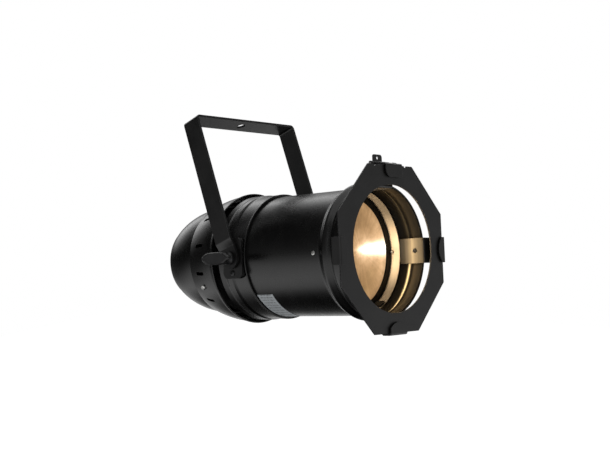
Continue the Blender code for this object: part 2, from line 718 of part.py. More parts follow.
def lens_barrel(carriage):
    front = LENS_FRONT_Y + LENS_EDGE + GAP
    inner = CARRIAGE_R - 1.6
    barrel = solid("lens_barrel", turned([
        (front, LENS_BULGE_R + 1.0), (front, CARRIAGE_R), (CARRIAGE_REAR_Y, CARRIAGE_R),
        (CARRIAGE_REAR_Y, inner), (front + 2.0, inner), (front + 2.0, LENS_BULGE_R + 1.0)]),
        "black_paint", carriage, (0.0, -LENS_FRONT_Y, 0.0))
    hole = slab(circle((ZOOM_STUD_Y, 0.0), 2.3, 12), 60.0, 76.0, "X")
    cut(barrel, spun(hole, math.degrees(ZOOM_ANGLE)))


def zoom_screw(carriage):
    """Knurled thumb screw that slides in the tube's slot; its origin is on its own axis."""
    sides = 20
    head = [(TUBE_R + 0.5, 5.0), (TUBE_R + 1.5, 5.0), (TUBE_R + 1.5, 7.0), (82.0, 7.0),
            (83.0, 6.0), (83.0, 0.0)]
    outline = [(TUBE_R - 6.5, 0.0), (TUBE_R - 6.5, 2.0), (TUBE_R + 0.5, 2.0)] + head
    shape = turned(outline, sides)
    bmesh.ops.rotate(shape, verts=shape.verts, cent=(0.0, 0.0, 0.0),
                     matrix=Matrix.Rotation(-math.pi / 2, 3, "Z"))
    place = (0.0, ZOOM_STUD_Y - LENS_FRONT_Y, 0.0)
    solid("zoom_screw", spun(shape, math.degrees(ZOOM_ANGLE)), "black_plastic", carriage, place)


# ---------------------------------------------------------------- light engine

def led_engine(can):
    back = SINK_Y[0] - GAP
    solid("led_cob", turned([(LED_Y - 1.0, 0.0), (LED_Y - 1.0, 12.0), (LED_Y, 12.0),
                             (LED_Y, 19.0), (back, 19.0), (back, 0.0)], 24),
          "led_yellow", can)
    rim = LED_Y - 1.0 - 13.0
    solid("reflector", turned([(LED_Y - GAP, 13.0), (LED_Y - GAP, 16.0), (rim, 31.0),
                               (rim, 29.5)], 24), "aluminium", can)


def heat_sink(can):
    base_end = SINK_Y[0] + 5.0
    pitch = 2 * SINK_R * 0.92 / (SINK_FINS - 1)
    outline = [(SINK_R, SINK_Y[0]), (-SINK_R, SINK_Y[0]), (-SINK_R, base_end)]
    for number in range(SINK_FINS):
        middle = (number - (SINK_FINS - 1) / 2) * pitch
        outline += [(middle - 1.1, base_end), (middle - 1.1, SINK_Y[1]),
                    (middle + 1.1, SINK_Y[1]), (middle + 1.1, base_end)]
    outline.append((SINK_R, base_end))
    sink = solid("heat_sink", slab(outline, -SINK_R - 2.0, SINK_R + 2.0, "Z"), "aluminium", can)
    trim(sink, turned([(150.0, 0.0), (150.0, SINK_R), (210.0, SINK_R), (210.0, 0.0)], 32))


def bulkhead(can):
    plate = solid("bulkhead", slab(circle((0.0, 0.0), TUBE_R + 1.0, SEGMENTS), *BULKHEAD_Y),
                  "black_steel", can)
    cut(plate, slab(circle((0.0, 0.0), 37.0, 24), 190.0, 210.0))


def dome_cage(can):
    """Ring on the bulkhead with four straps that carry the vented band across the air gap."""
    foot = BULKHEAD_Y[1] + GAP
    cage = solid("dome_cage", turned([(foot, 60.5), (foot, 69.0), (foot + 1.5, 69.0),
                                      (foot + 1.5, 60.5)], 32), "zinc", can)
    pad_low, pad_high = BAND_SCREW_Y - 6.0, BAND_SCREW_Y + 6.0
    pad_r = band_radius(pad_high) - WALL - 0.9
    outline = [(foot + 0.2, 66.0), (foot + 0.2, 68.4), (pad_low - 3.0, 69.2), (pad_low, pad_r),
               (pad_high, pad_r), (pad_high, pad_r - 1.5), (pad_low + 0.6, pad_r - 1.5),
               (pad_low - 2.0, 67.2), (foot + 2.5, 66.0)]
    straps = [spun(slab([(r, y) for y, r in outline], -6.0, 6.0, "Z"), angle)
              for angle in BAND_SCREW_ANGLES]
    join(cage, merged(*straps))
    holes = [spun(slab(circle((BAND_SCREW_Y, 0.0), 2.1, 12), 60.0, 80.0, "X"), angle)
             for angle in BAND_SCREW_ANGLES]
    cut(cage, merged(*holes))


def dome_screw(can, name, angle):
    seat = band_radius(BAND_SCREW_Y - 3.2) + GAP
    shape = moved(screw(3.2, 1.7, 1.6, 6.5), (seat, BAND_SCREW_Y, 0.0))
    solid(name, spun(shape, angle), "zinc", can)


def fan(can):
    half = FAN_SIZE / 2
    frame = solid("fan_frame", slab(rounded_box((-half, -half), (half, half), (5.0,) * 4, 3),
                                    *FAN_Y), "black_plastic", can)
    cut(frame, slab(circle((0.0, 0.0), 38.0, 32), FAN_Y[0] - 2.0, FAN_Y[1] + 2.0))
    rear = FAN_Y[1]
    join(frame, slab(circle((0.0, 0.0), 15.0, 24), rear - 3.0, rear - 0.2))
    join(frame, box((-39.0, rear - 2.8, -2.0), (39.0, rear - 0.4, 2.0)))
    join(frame, box((-2.0, rear - 2.7, -39.0), (2.0, rear - 0.5, 39.0)))


def fan_rotor(can):
    front, rear = FAN_Y[0] + 2.0, FAN_Y[1] - 4.0
    hub = turned([(front, 0.0), (front, 14.0), (rear, 15.0), (rear, 0.0)], 24)
    rotor = solid("fan_rotor", hub, "black_plastic", can)
    blades = []
    for number in range(7):
        outline = [(10.0, front + 3.0), (10.0, front + 5.0), (36.5, front + 5.0),
                   (36.5, front + 3.0)]
        blade = slab(outline, -9.0, 9.0, "Z")
        bmesh.ops.rotate(blade, verts=blade.verts, cent=(0.0, (front + rear) / 2 - 4.0, 0.0),
                         matrix=Matrix.Rotation(math.radians(32.0), 3, "X"))
        blades.append(spun(moved(blade, (0.0, 4.0, 0.0)), number * 360.0 / 7))
    join(rotor, merged(*blades))


def electronics(can):
    tray = solid("driver_tray", slab(circle((0.0, 0.0), 65.8, 32), 236.0, 237.5),
                 "zinc", can)
    cut(tray, slab(circle((0.0, 34.0), 14.0, 16), 230.0, 240.0))
    solid("led_driver", box((-42.0, 237.8, -36.0), (42.0, 290.0, 16.0)), "aluminium", can)
    solid("control_board", box((-26.0, 312.0, 7.5), (26.0, 313.6, 37.0)), "board_green", can)
    shape = box((-17.0, 314.0, DISPLAY_Z - 9.0), (17.0, PANEL_Y[0] - GAP, DISPLAY_Z + 9.0))
    display = solid("display", shape, "display", can)
    join(display, box((-14.6, 318.0, DISPLAY_Z - 6.6), (14.6, PANEL_Y[1] - 0.4, DISPLAY_Z + 6.6)))


def button(can, number, x):
    """Round cap with a flange behind the panel; its origin is on its own axis."""
    flange = PANEL_Y[0] - GAP
    outline = [(flange - 2.0, 0.0), (flange - 2.0, 4.0), (flange, 4.0), (flange, 3.0),
               (326.2, 3.0), (326.8, 2.4), (326.8, 0.0)]
    solid(f"button_{number}", turned(outline, 16), "black_plastic", can, (x, 0.0, BUTTON_Z))


def socket_cup(depth_y):
    """Outline of a round connector: flange on the panel and a cup that opens to the rear."""
    face = PANEL_Y[1] + GAP
    return [(depth_y, 0.0), (depth_y, 10.5), (face, 10.5), (face, 12.4), (face + 1.4, 12.4)]


def data_sockets(can):
    face = PANEL_Y[1] + GAP + 1.4
    floor = face - 15.0
    outline = socket_cup(304.0) + [(face, 8.7), (floor, 8.7), (floor, 0.0)]
    male = solid("dmx_in_socket", turned(outline, 24), "black_plastic", can,
                 (-SOCKET_X, 0.0, SOCKET_Z))
    pins = [slab(circle(spot, 1.2, 8), floor - 2.0, face - 5.4)
            for spot in ((-3.6, 1.2), (3.6, 1.2), (0.0, -3.4))]
    join(male, merged(*pins))
    outline = socket_cup(304.0) + [(face, 0.0)]
    female = solid("dmx_out_socket", turned(outline, 24), "black_plastic", can,
                   (SOCKET_X, 0.0, SOCKET_Z))
    holes = [slab(circle(spot, 1.5, 8), face - 11.0, face + 3.0)
             for spot in ((-3.6, 1.2), (3.6, 1.2), (0.0, -3.4))]
    cut(female, merged(*holes))


def power_inlet(can):
    face = PANEL_Y[1] + GAP + 1.2
    body = solid("power_inlet", slab(inlet_outline(0.0), 300.0, face), "black_plastic", can)
    floor = face - 15.0
    cut(body, slab(inlet_outline(-1.7), floor, face + 3.0))
    blades = [box((x - 1.0, floor - 2.0, INLET_Z + z - 2.0),
                  (x + 1.0, face - 5.4, INLET_Z + z + 2.0))
              for x, z in ((-7.0, -1.5), (7.0, -1.5), (0.0, 2.5))]
    join(body, merged(*blades))


# ---------------------------------------------------------------- assembly

def build():
    clear_scene()
    drop = Vector((0.0, math.sin(YOKE_LEAN), math.cos(YOKE_LEAN))) * -YOKE_HEIGHT
    pivot_axis = empty("pivot_axis", drop)
    yoke_frame = empty("yoke_frame", (0.0, 0.0, 0.0), pivot_axis, lean=-YOKE_LEAN)
    can = empty("can_frame", (0.0, -PIVOT_Y, -PIVOT_Z), pivot_axis)
    carriage = empty("carriage_frame", (0.0, LENS_FRONT_Y, 0.0), can)

    yoke(yoke_frame)
    for name, side in (("left", -1), ("right", 1)):
        pivot_washer(pivot_axis, f"pivot_washer_{name}", side)
        pivot_knob(pivot_axis, f"pivot_knob_{name}", side)
        pivot_bracket(can, f"pivot_bracket_{name}", side)
        bracket_screws(can, name, side)
        stop_screw(can, f"stop_screw_{name}", side)

    front_tube(can)
    label(can)
    front_collar(can)
    rear_ring(can)
    rear_band(can)
    rear_dome(can)
    rear_panel(can)

    gel_frame(can)
    side_reach = GEL_WIDTH / 2 + EDGE_PLAY + CLIP_THICK
    low_reach = GEL_HEIGHT / 2 - GEL_RISE + EDGE_PLAY + CLIP_THICK
    clip(can, "clip_left", 180.0, side_reach, CLIP_SIDE_TAB)
    clip(can, "clip_right", 0.0, side_reach, CLIP_SIDE_TAB)
    clip(can, "clip_bottom", 270.0, low_reach, CLIP_BOTTOM_TAB)
    latch_base(can)
    for name, angle in (("right", 0.0), ("top", 90.0), ("left", 180.0), ("bottom", 270.0)):
        clip_rivet(can, f"clip_rivet_{name}", angle)
    latch_flap(can)
    latch_pin(can)
    latch_spring(can)

    lens(carriage)
    lens_ring(carriage)
    lens_barrel(carriage)
    zoom_screw(carriage)

    led_engine(can)
    heat_sink(can)
    bulkhead(can)
    dome_cage(can)
    for number, angle in enumerate(BAND_SCREW_ANGLES, 1):
        dome_screw(can, f"dome_screw_{number}", angle)
    fan(can)
    fan_rotor(can)
    electronics(can)
    for number, x in enumerate(button_places(), 1):
        button(can, number, x)
    data_sockets(can)
    power_inlet(can)


build()
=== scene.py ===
"""Looks of the par can light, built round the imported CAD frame.

Lengths are in millimetres in the can frame: y = 0 in the plane of the gel frame with +y to the
rear, z = 0 and x = 0 on the beam axis. `place` turns them into the row frame's metres.
"""
import math
import random

import bmesh
import bpy
from mathutils import Matrix, Vector


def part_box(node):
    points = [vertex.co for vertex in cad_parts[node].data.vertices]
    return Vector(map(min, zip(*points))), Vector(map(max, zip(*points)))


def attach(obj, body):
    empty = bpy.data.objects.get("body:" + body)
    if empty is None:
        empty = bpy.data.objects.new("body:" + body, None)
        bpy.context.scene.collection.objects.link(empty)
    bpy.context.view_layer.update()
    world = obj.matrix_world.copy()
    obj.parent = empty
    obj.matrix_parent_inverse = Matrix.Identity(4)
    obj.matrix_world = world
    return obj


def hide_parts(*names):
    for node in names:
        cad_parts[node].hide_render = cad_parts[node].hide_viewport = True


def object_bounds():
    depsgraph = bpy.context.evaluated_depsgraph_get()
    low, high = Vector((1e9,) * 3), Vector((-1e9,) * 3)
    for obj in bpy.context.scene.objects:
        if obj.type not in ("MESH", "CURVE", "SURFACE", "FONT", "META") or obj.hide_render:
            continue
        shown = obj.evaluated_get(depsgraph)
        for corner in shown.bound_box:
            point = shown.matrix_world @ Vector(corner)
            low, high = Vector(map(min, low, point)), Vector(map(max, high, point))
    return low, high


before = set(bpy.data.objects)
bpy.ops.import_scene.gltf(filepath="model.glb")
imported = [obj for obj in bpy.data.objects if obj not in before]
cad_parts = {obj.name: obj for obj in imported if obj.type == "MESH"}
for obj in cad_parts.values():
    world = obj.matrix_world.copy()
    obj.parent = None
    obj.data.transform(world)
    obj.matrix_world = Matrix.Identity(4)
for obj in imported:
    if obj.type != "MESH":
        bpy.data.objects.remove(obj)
cad_low, cad_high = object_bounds()

MM = 0.001
TUBE_LOW, TUBE_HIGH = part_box("front_tube")
GEL_LOW, GEL_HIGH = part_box("gel_frame")
AXIS = Vector((0.0, (GEL_LOW.y + GEL_HIGH.y) / 2, (TUBE_LOW.z + TUBE_HIGH.z) / 2))


# ------------------------------------------------------------------ camera and studio

def add_camera():
    """Camera in front and to the left, a little below the lamp's axis and tilted up."""
    data = bpy.data.cameras.new("camera")
    data.sensor_width = 36.0
    data.lens = 63.62
    data.clip_start = 0.02
    data.clip_end = 60.0
    camera = bpy.data.objects.new("camera", data)
    bpy.context.scene.collection.objects.link(camera)
    azimuth, elevation, roll = math.radians(-48.314), math.radians(-2.865), math.radians(2.259)
    back = Vector((math.sin(azimuth) * math.cos(elevation),
                   -math.cos(azimuth) * math.cos(elevation), math.sin(elevation)))
    right = Vector((math.cos(azimuth), math.sin(azimuth), 0.0))
    up = back.cross(right)
    rolled_right = right * math.cos(roll) - up * math.sin(roll)
    rolled_up = right * math.sin(roll) + up * math.cos(roll)
    turn = Matrix((rolled_right, rolled_up, back)).transposed().to_4x4()
    spot = AXIS + Vector((-971.5, -733.4, -28.4)) * MM
    camera.matrix_world = Matrix.Translation(spot) @ turn
    bpy.context.scene.camera = camera


def area_light(name, spot, target, size, power, colour=(1.0, 1.0, 1.0)):
    data = bpy.data.lights.new(name, "AREA")
    data.shape = "RECTANGLE"
    data.size, data.size_y = size
    data.energy = power
    data.color = colour
    light = bpy.data.objects.new(name, data)
    bpy.context.scene.collection.objects.link(light)
    light.location = spot
    away = Vector(spot) - Vector(target)
    light.rotation_euler = away.to_track_quat("Z", "Y").to_euler()
    return light


def add_studio():
    """White sweep behind the lamp, a bright floor band low down, and a dark room above."""
    scene = bpy.context.scene
    scene.view_settings.view_transform = "Standard"
    world = bpy.data.worlds.new("studio")
    scene.world = world
    world.use_nodes = True
    tree = world.node_tree
    tree.nodes.clear()
    link = tree.links.new
    direction = tree.nodes.new("ShaderNodeTexCoord").outputs["Generated"]
    split = tree.nodes.new("ShaderNodeSeparateXYZ")
    link(direction, split.inputs["Vector"])
    height = grey_ramp(tree, split.outputs["Z"], -1.0, 1.0, (
        (0.0, 0.04), (0.10, 0.10), (0.14, 0.45), (0.17, 0.9), (0.24, 1.15), (0.38, 0.95),
        (0.46, 0.5), (0.51, 0.2), (0.62, 0.12), (1.0, 0.10)))

    def toward(aim, stops):
        dot = tree.nodes.new("ShaderNodeVectorMath")
        dot.operation = "DOT_PRODUCT"
        dot.inputs[1].default_value = Vector(aim).normalized()
        link(direction, dot.inputs[0])
        return grey_ramp(tree, dot.outputs["Value"], 0.0, 1.0, stops)

    def mixed(kind, first, second):
        mix = tree.nodes.new("ShaderNodeMix")
        mix.data_type = "RGBA"
        mix.blend_type = kind
        mix.inputs["Factor"].default_value = 1.0
        link(first, mix.inputs[6])
        link(second, mix.inputs[7])
        return mix.outputs[2]

    flag = mixed("MULTIPLY",
                 toward((0.0, 0.93, 0.37), ((0.0, 1.0), (0.6, 1.0), (0.88, 0.12), (1.0, 0.1))),
                 toward((0.3, 0.45, -0.84), ((0.0, 1.0), (0.75, 1.0), (0.84, 0.4), (0.91, 0.07),
                                             (1.0, 0.05))))
    sweep = toward((0.75, 0.66, 0.22), (
        (0.0, 0.0), (0.45, 0.0), (0.64, 0.34), (0.80, 1.6), (0.87, 2.6), (0.95, 0.6), (1.0, 0.3)))
    front = toward((0.746, -0.664, 0.05), ((0.0, 0.0), (0.8, 0.0), (0.92, 0.3), (1.0, 0.3)))
    above = grey_ramp(tree, split.outputs["Z"], 0.0, 0.4, ((0.0, 0.0), (0.2, 0.0), (1.0, 1.0)))
    sweep = mixed("MULTIPLY", sweep, above)
    light = mixed("LIGHTEN", mixed("LIGHTEN", mixed("MULTIPLY", height, flag), sweep), front)
    room = tree.nodes.new("ShaderNodeBackground")
    link(light, room.inputs["Color"])
    white = tree.nodes.new("ShaderNodeBackground")
    white.inputs["Color"].default_value = (1.0, 1.0, 1.0, 1.0)
    seen = tree.nodes.new("ShaderNodeLightPath")
    mix = tree.nodes.new("ShaderNodeMixShader")
    out = tree.nodes.new("ShaderNodeOutputWorld")
    link(seen.outputs["Is Camera Ray"], mix.inputs["Fac"])
    link(room.outputs["Background"], mix.inputs[1])
    link(white.outputs["Background"], mix.inputs[2])
    link(mix.outputs["Shader"], out.inputs["Surface"])

    area_light("overhead", (-0.25, -0.25, 1.5), (0.0, -0.05, -0.17), (1.6, 2.2), 9.0)
    area_light("strip_left", (-1.7, -1.5, 0.35), (0.0, -0.1, -0.17), (0.5, 1.2), 3.0)
    beam = area_light("lamp_beam", place((0.0, 57.6, 0.0)), place((0.0, -900.0, 0.0)),
                      (0.141, 0.141), 0.9, (1.0, 0.76, 0.47))
    beam.data.shape = "DISK"
    beam.visible_camera = False
    beam.visible_glossy = False

    floor = bmesh.new()
    bmesh.ops.create_grid(floor, x_segments=40, y_segments=40, size=4.0)
    for vertex in floor.verts:
        far = max(0.0, vertex.co.xy.length - 2.2)
        vertex.co.z = 0.05 * far ** 2
    mesh = bpy.data.meshes.new("floor")
    floor.to_mesh(mesh)
    floor.free()
    mesh.shade_smooth()
    thing = bpy.data.objects.new("floor", mesh)
    bpy.context.scene.collection.objects.link(thing)
    thing.location = (0.0, 0.0, cad_low.z - 0.45)
    thing.visible_glossy = False
    thing.visible_diffuse = False
    paper = bpy.data.materials.new("floor_paper")
    paper.use_nodes = True
    shader = paper.node_tree.nodes["Principled BSDF"]
    shader.inputs["Roughness"].default_value = 0.9
    shader.inputs["Base Color"].default_value = (0.5, 0.5, 0.5, 1.0)
    shader.inputs["Emission Color"].default_value = (1.0, 1.0, 1.0, 1.0)
    shader.inputs["Emission Strength"].default_value = 0.88
    mesh.materials.append(paper)


def grey_ramp(tree, source, low, high, stops):
    """Grey level read from `stops` as `source` goes from low to high."""
    fit = tree.nodes.new("ShaderNodeMapRange")
    fit.inputs["From Min"].default_value = low
    fit.inputs["From Max"].default_value = high
    tree.links.new(source, fit.inputs["Value"])
    ramp = tree.nodes.new("ShaderNodeValToRGB")
    ramp.color_ramp.interpolation = "EASE"
    elements = ramp.color_ramp.elements
    while len(elements) < len(stops):
        elements.new(0.5)
    for element, (position, level) in zip(elements, stops):
        element.position = position
        element.color = (level, level, level, 1.0)
    tree.links.new(fit.outputs["Result"], ramp.inputs["Fac"])
    return ramp.outputs["Color"]


# ------------------------------------------------------------------ node materials

class Nodes:
    """Small wrapper that keeps the material recipes short."""

    def __init__(self, name, scale=1.0):
        self.material = bpy.data.materials.new(name)
        self.material.use_nodes = True
        self.tree = self.material.node_tree
        self.shader = self.tree.nodes["Principled BSDF"]
        self.where = self.add("ShaderNodeTexCoord").outputs["Object"]

    def add(self, kind, **values):
        node = self.tree.nodes.new(kind)
        for key, value in values.items():
            if hasattr(node, key):
                setattr(node, key, value)
            else:
                node.inputs[key.replace("_", " ")].default_value = value
        return node

    def link(self, source, target):
        self.tree.links.new(source, target)

    def noise(self, scale, detail=3.0, roughness=0.55, stretch=None):
        node = self.add("ShaderNodeTexNoise", Scale=scale, Detail=detail, Roughness=roughness)
        if stretch is None:
            self.link(self.where, node.inputs["Vector"])
        else:
            shape = self.add("ShaderNodeMapping")
            shape.inputs["Scale"].default_value = stretch
            self.link(self.where, shape.inputs["Vector"])
            self.link(shape.outputs["Vector"], node.inputs["Vector"])
        return node.outputs["Fac"]

    def ranged(self, source, low, high, to_low=0.0, to_high=1.0, smooth=False):
        node = self.add("ShaderNodeMapRange")
        if smooth:
            node.interpolation_type = "SMOOTHSTEP"
        node.inputs["From Min"].default_value = low
        node.inputs["From Max"].default_value = high
        node.inputs["To Min"].default_value = to_low
        node.inputs["To Max"].default_value = to_high
        self.link(source, node.inputs["Value"])
        return node.outputs["Result"]

    def math(self, operation, a, b=None, c=None):
        node = self.add("ShaderNodeMath", operation=operation)
        for socket, value in zip(node.inputs, (a, b, c)):
            if value is None:
                continue
            if isinstance(value, (int, float)):
                socket.default_value = value
            else:
                self.link(value, socket)
        return node.outputs["Value"]

    def blend(self, factor, first, second):
        node = self.add("ShaderNodeMix", data_type="RGBA")
        self.link(factor, node.inputs["Factor"])
        for socket, value in ((node.inputs[6], first), (node.inputs[7], second)):
            if isinstance(value, tuple):
                socket.default_value = (*value, 1.0)
            else:
                self.link(value, socket)
        return node.outputs[2]

    def bump(self, height, depth, strength=1.0, after=None):
        node = self.add("ShaderNodeBump")
        node.inputs["Strength"].default_value = strength
        node.inputs["Distance"].default_value = depth
        self.link(height, node.inputs["Height"])
        if after is not None:
            self.link(after, node.inputs["Normal"])
        return node.outputs["Normal"]

    def profile(self, source, stops):
        """Level read from (station in mm, level) pairs along the beam axis."""
        first, last = stops[0][0], stops[-1][0]
        spots = [((y - first) / (last - first), level) for y, level in stops]
        return grey_ramp(self.tree, source, AXIS.y + first * MM, AXIS.y + last * MM, spots)

    def edge(self, radius, low=0.03, high=0.22):
        """1 on sharp convex or concave edges, 0 on open faces."""
        rounded = self.add("ShaderNodeBevel", samples=4)
        rounded.inputs["Radius"].default_value = radius
        plain = self.add("ShaderNodeNewGeometry").outputs["Normal"]
        dot = self.add("ShaderNodeVectorMath", operation="DOT_PRODUCT")
        self.link(rounded.outputs["Normal"], dot.inputs[0])
        self.link(plain, dot.inputs[1])
        away = self.math("SUBTRACT", 1.0, dot.outputs["Value"])
        return self.ranged(away, low, high)

    def set(self, **values):
        for key, value in values.items():
            socket = self.shader.inputs[key.replace("_", " ")]
            if isinstance(value, (int, float)):
                socket.default_value = value
            elif isinstance(value, tuple):
                socket.default_value = (*value, 1.0)
            else:
                self.link(value, socket)


def black_paint(name, base=0.0045, rough=0.25, peel=0.06, edge_wear_and_highlight=0.35, dust=0.004, brown=0.0):
    """Satin black powder coat: orange peel, uneven gloss, faint dust, and rubbed edges lightened to grey that
    are partly wear and partly a painted edge highlight.
    """
    n = Nodes(name)
    cloud = n.noise(22.0, 4.0, 0.6)
    smudge = n.noise(90.0, 5.0, 0.65)
    grain = n.noise(1500.0, 2.0)
    pits = n.noise(430.0, 3.0)
    dark = (base, base * (1.0 - 0.06 * brown), base * (1.0 - 0.12 * brown))
    light = (base * 1.9, base * (1.85 - 0.1 * brown), base * (1.8 - 0.2 * brown))
    colour = n.blend(n.ranged(cloud, 0.35, 0.7), dark, light)
    specks = n.ranged(smudge, 0.62, 0.78, 0.0, dust * 8.0)
    colour = n.blend(specks, colour, (0.09, 0.088, 0.084))
    scuff = n.noise(60.0, 6.0, 0.7, (1.0, 1.0, 1.0))
    # Rubbed edges: partly wear, partly a painted edge highlight.
    worn = n.math("MULTIPLY", n.edge(0.0007), n.ranged(scuff, 0.42, 0.62))
    worn = n.math("MULTIPLY", worn, edge_wear_and_highlight)
    colour = n.blend(worn, colour, (0.32, 0.32, 0.33))
    gloss = n.math("ADD", n.ranged(cloud, 0.3, 0.7, rough - 0.025, rough + 0.03),
                   n.ranged(smudge, 0.4, 0.75, 0.0, 0.04))
    surface = n.bump(pits, 0.00006, peel)
    surface = n.bump(grain, 0.00002, peel * 0.6, surface)
    n.set(Base_Color=colour, Roughness=gloss, Normal=surface, Metallic=worn, IOR=1.5,
          Specular_IOR_Level=0.5)
    return n.material


def lit_paint(name, dark, light, rough, beam_light_bands=None, bead_highlight=None, light_falloff=None, shine_level=0.5):
    """Satin paint with the beam's light painted into its colour: painted bands of light and shade along the
    beam, a painted highlight on the bead with painted shade towards the top, painted fall-off with height from
    the axis, noise stains and light dust.
    """
    n = Nodes(name)
    split = n.add("ShaderNodeSeparateXYZ")
    n.link(n.where, split.inputs["Vector"])
    stain = n.noise(45.0, 4.0, 0.6)
    dust = n.noise(700.0, 3.0, 0.6)
    colour = n.blend(n.ranged(stain, 0.3, 0.72), dark, light)
    colour = n.blend(n.ranged(dust, 0.6, 0.85, 0.0, 0.12), colour, tuple(c * 2.0 for c in light))
    level = None
    # Painted light and shade along the beam: brightness set station by station.
    if beam_light_bands:
        level = n.profile(split.outputs["Y"], beam_light_bands)
    if bead_highlight:
        # Painted shade: the painted light on the bead dims towards the top.
        low = n.ranged(split.outputs["Z"], AXIS.z - 0.035, AXIS.z + 0.03, 1.0, 0.45)
        level = n.math("MULTIPLY", level, low)
    if light_falloff:
        # Painted fall-off: the painted light dims with height away from the beam axis.
        height = n.math("ABSOLUTE", n.math("SUBTRACT", split.outputs["Z"], AXIS.z))
        level = n.ranged(height, light_falloff[0] * MM, light_falloff[1] * MM, 1.0, light_falloff[2], smooth=True)
    if level is not None:
        scaled = n.add("ShaderNodeVectorMath", operation="SCALE")
        n.link(colour, scaled.inputs[0])
        n.link(level, scaled.inputs["Scale"])
        colour = scaled.outputs["Vector"]
    if bead_highlight:
        # Painted highlight: a pale band on the bead, below the axis only.
        under = n.ranged(split.outputs["Z"], AXIS.z - 0.004, AXIS.z + 0.012, 1.0, 0.05)
        pale = n.math("MULTIPLY", n.profile(split.outputs["Y"], bead_highlight), under)
        colour = n.blend(pale, colour, (0.3, 0.27, 0.19))
    n.set(Base_Color=colour, Roughness=n.ranged(stain, 0.3, 0.7, rough - 0.05, rough + 0.08),
          Normal=n.bump(dust, 0.00002, 0.1), Specular_IOR_Level=shine_level)
    return n.material


def bright_metal(name, colour, rough, brushed=None, tarnish=0.3, metallic=1.0):
    """Plated or bare metal with brushing, tarnish in patches and fine scratches."""
    n = Nodes(name)
    cloud = n.noise(120.0, 4.0, 0.6)
    fine = n.noise(900.0, 3.0, 0.6, brushed)
    dull = tuple(c * 0.55 for c in colour)
    tone = n.blend(n.ranged(cloud, 0.45, 0.8, 0.0, tarnish), colour, dull)
    tone = n.blend(n.ranged(fine, 0.3, 0.75, 0.0, 0.25), tone, dull)
    gloss = n.math("ADD", n.ranged(fine, 0.3, 0.7, rough - 0.06, rough + 0.08),
                   n.ranged(cloud, 0.4, 0.8, 0.0, 0.12))
    n.set(Base_Color=tone, Roughness=gloss, Normal=n.bump(fine, 0.00003, 0.4),
          Metallic=metallic)
    return n.material


def moulded_plastic(name, colour, rough=0.5, texture=0.6):
    """Moulded plastic with a fine spark-eroded texture and rubbed, shinier edges whose lightening is partly
    wear and partly a painted edge highlight.
    """
    n = Nodes(name)
    cloud = n.noise(70.0, 4.0, 0.6)
    spark = n.noise(2200.0, 2.0, 0.7)
    light = tuple(c * 1.7 + 0.002 for c in colour)
    tone = n.blend(n.ranged(cloud, 0.35, 0.75), colour, light)
    edge = n.edge(0.0006)
    # Lighter edges: partly rubbed wear, partly a painted edge highlight.
    tone = n.blend(n.math("MULTIPLY", edge, 0.35), tone, tuple(c + 0.05 for c in colour))
    gloss = n.math("SUBTRACT", n.ranged(cloud, 0.3, 0.7, rough - 0.04, rough + 0.06),
                   n.math("MULTIPLY", edge, 0.15))
    n.set(Base_Color=tone, Roughness=gloss, Normal=n.bump(spark, 0.00003, texture))
    return n.material


def lens_glass(name, centre):
    """Ribbed lens lit from behind: a hot streak on one side, fading to amber with fine rays."""
    n = Nodes(name)
    origin = n.add("ShaderNodeVectorMath", operation="SUBTRACT")
    n.link(n.where, origin.inputs[0])
    origin.inputs[1].default_value = centre
    split = n.add("ShaderNodeSeparateXYZ")
    n.link(origin.outputs["Vector"], split.inputs["Vector"])
    x = n.math("MULTIPLY", split.outputs["X"], 1000.0)
    z = n.math("MULTIPLY", split.outputs["Z"], 1000.0)
    middle = n.math("MULTIPLY_ADD", x, 0.05, 2.5)
    above = n.math("SUBTRACT", z, middle)

    def lobe(tall):
        reach = n.math("POWER", n.math("ABSOLUTE", n.math("DIVIDE", above, tall)), 1.45)
        return n.math("EXPONENT", n.math("MULTIPLY", reach, -1.0))

    angle = n.math("ARCTAN2", above, n.math("SUBTRACT", x, 16.0))
    rays = n.add("ShaderNodeTexNoise", noise_dimensions="1D", Scale=7.0, Detail=4.0)
    n.link(angle, rays.inputs["W"])
    rays = n.ranged(rays.outputs["Fac"], 0.35, 0.68, 0.84, 1.14)
    mottle = n.ranged(n.noise(95.0, 5.0, 0.65), 0.3, 0.72, 0.8, 1.2)
    uneven = n.math("ADD", x, n.math("MULTIPLY", mottle, 8.0))
    onset = n.ranged(uneven, 9.0, 44.0, smooth=True)
    flare_onset = n.ranged(uneven, 4.0, 34.0, smooth=True)
    core = n.math("MULTIPLY", lobe(n.math("MULTIPLY_ADD", x, 0.028, 3.9)), 3.6)
    core = n.math("MULTIPLY", n.math("MULTIPLY", core, onset), rays)
    flare = n.math("MULTIPLY", n.math("MULTIPLY", lobe(18.0), flare_onset), 0.62)
    flare = n.math("MULTIPLY", flare, mottle)
    radius = n.math("SQRT", n.math("ADD", n.math("POWER", x, 2.0), n.math("POWER", z, 2.0)))
    rim = n.ranged(radius, 44.0, 60.0, 0.0, 0.16, smooth=True)
    haze = n.math("ADD", n.math("MULTIPLY", lobe(70.0), 0.34), rim)
    haze = n.math("MULTIPLY", n.math("MULTIPLY", haze, mottle), rays)
    total = n.math("ADD", n.math("ADD", core, flare), haze)
    total = n.math("ADD", total, 0.05)
    warm = n.blend(n.ranged(total, 0.3, 2.4), (1.0, 0.57, 0.25), (1.0, 0.88, 0.7))
    ribs = n.add("ShaderNodeTexWave", wave_type="RINGS", rings_direction="Y", Scale=260.0,
                 Distortion=0.4, Detail=1.0)
    n.link(origin.outputs["Vector"], ribs.inputs["Vector"])
    surface = n.bump(ribs.outputs["Fac"], 0.00008, 0.25)
    n.set(Base_Color=(0.2, 0.14, 0.08), Roughness=0.2, Emission_Color=warm,
          Emission_Strength=total, Normal=surface, Coat_Weight=0.3, Coat_Roughness=0.08)
    return n.material


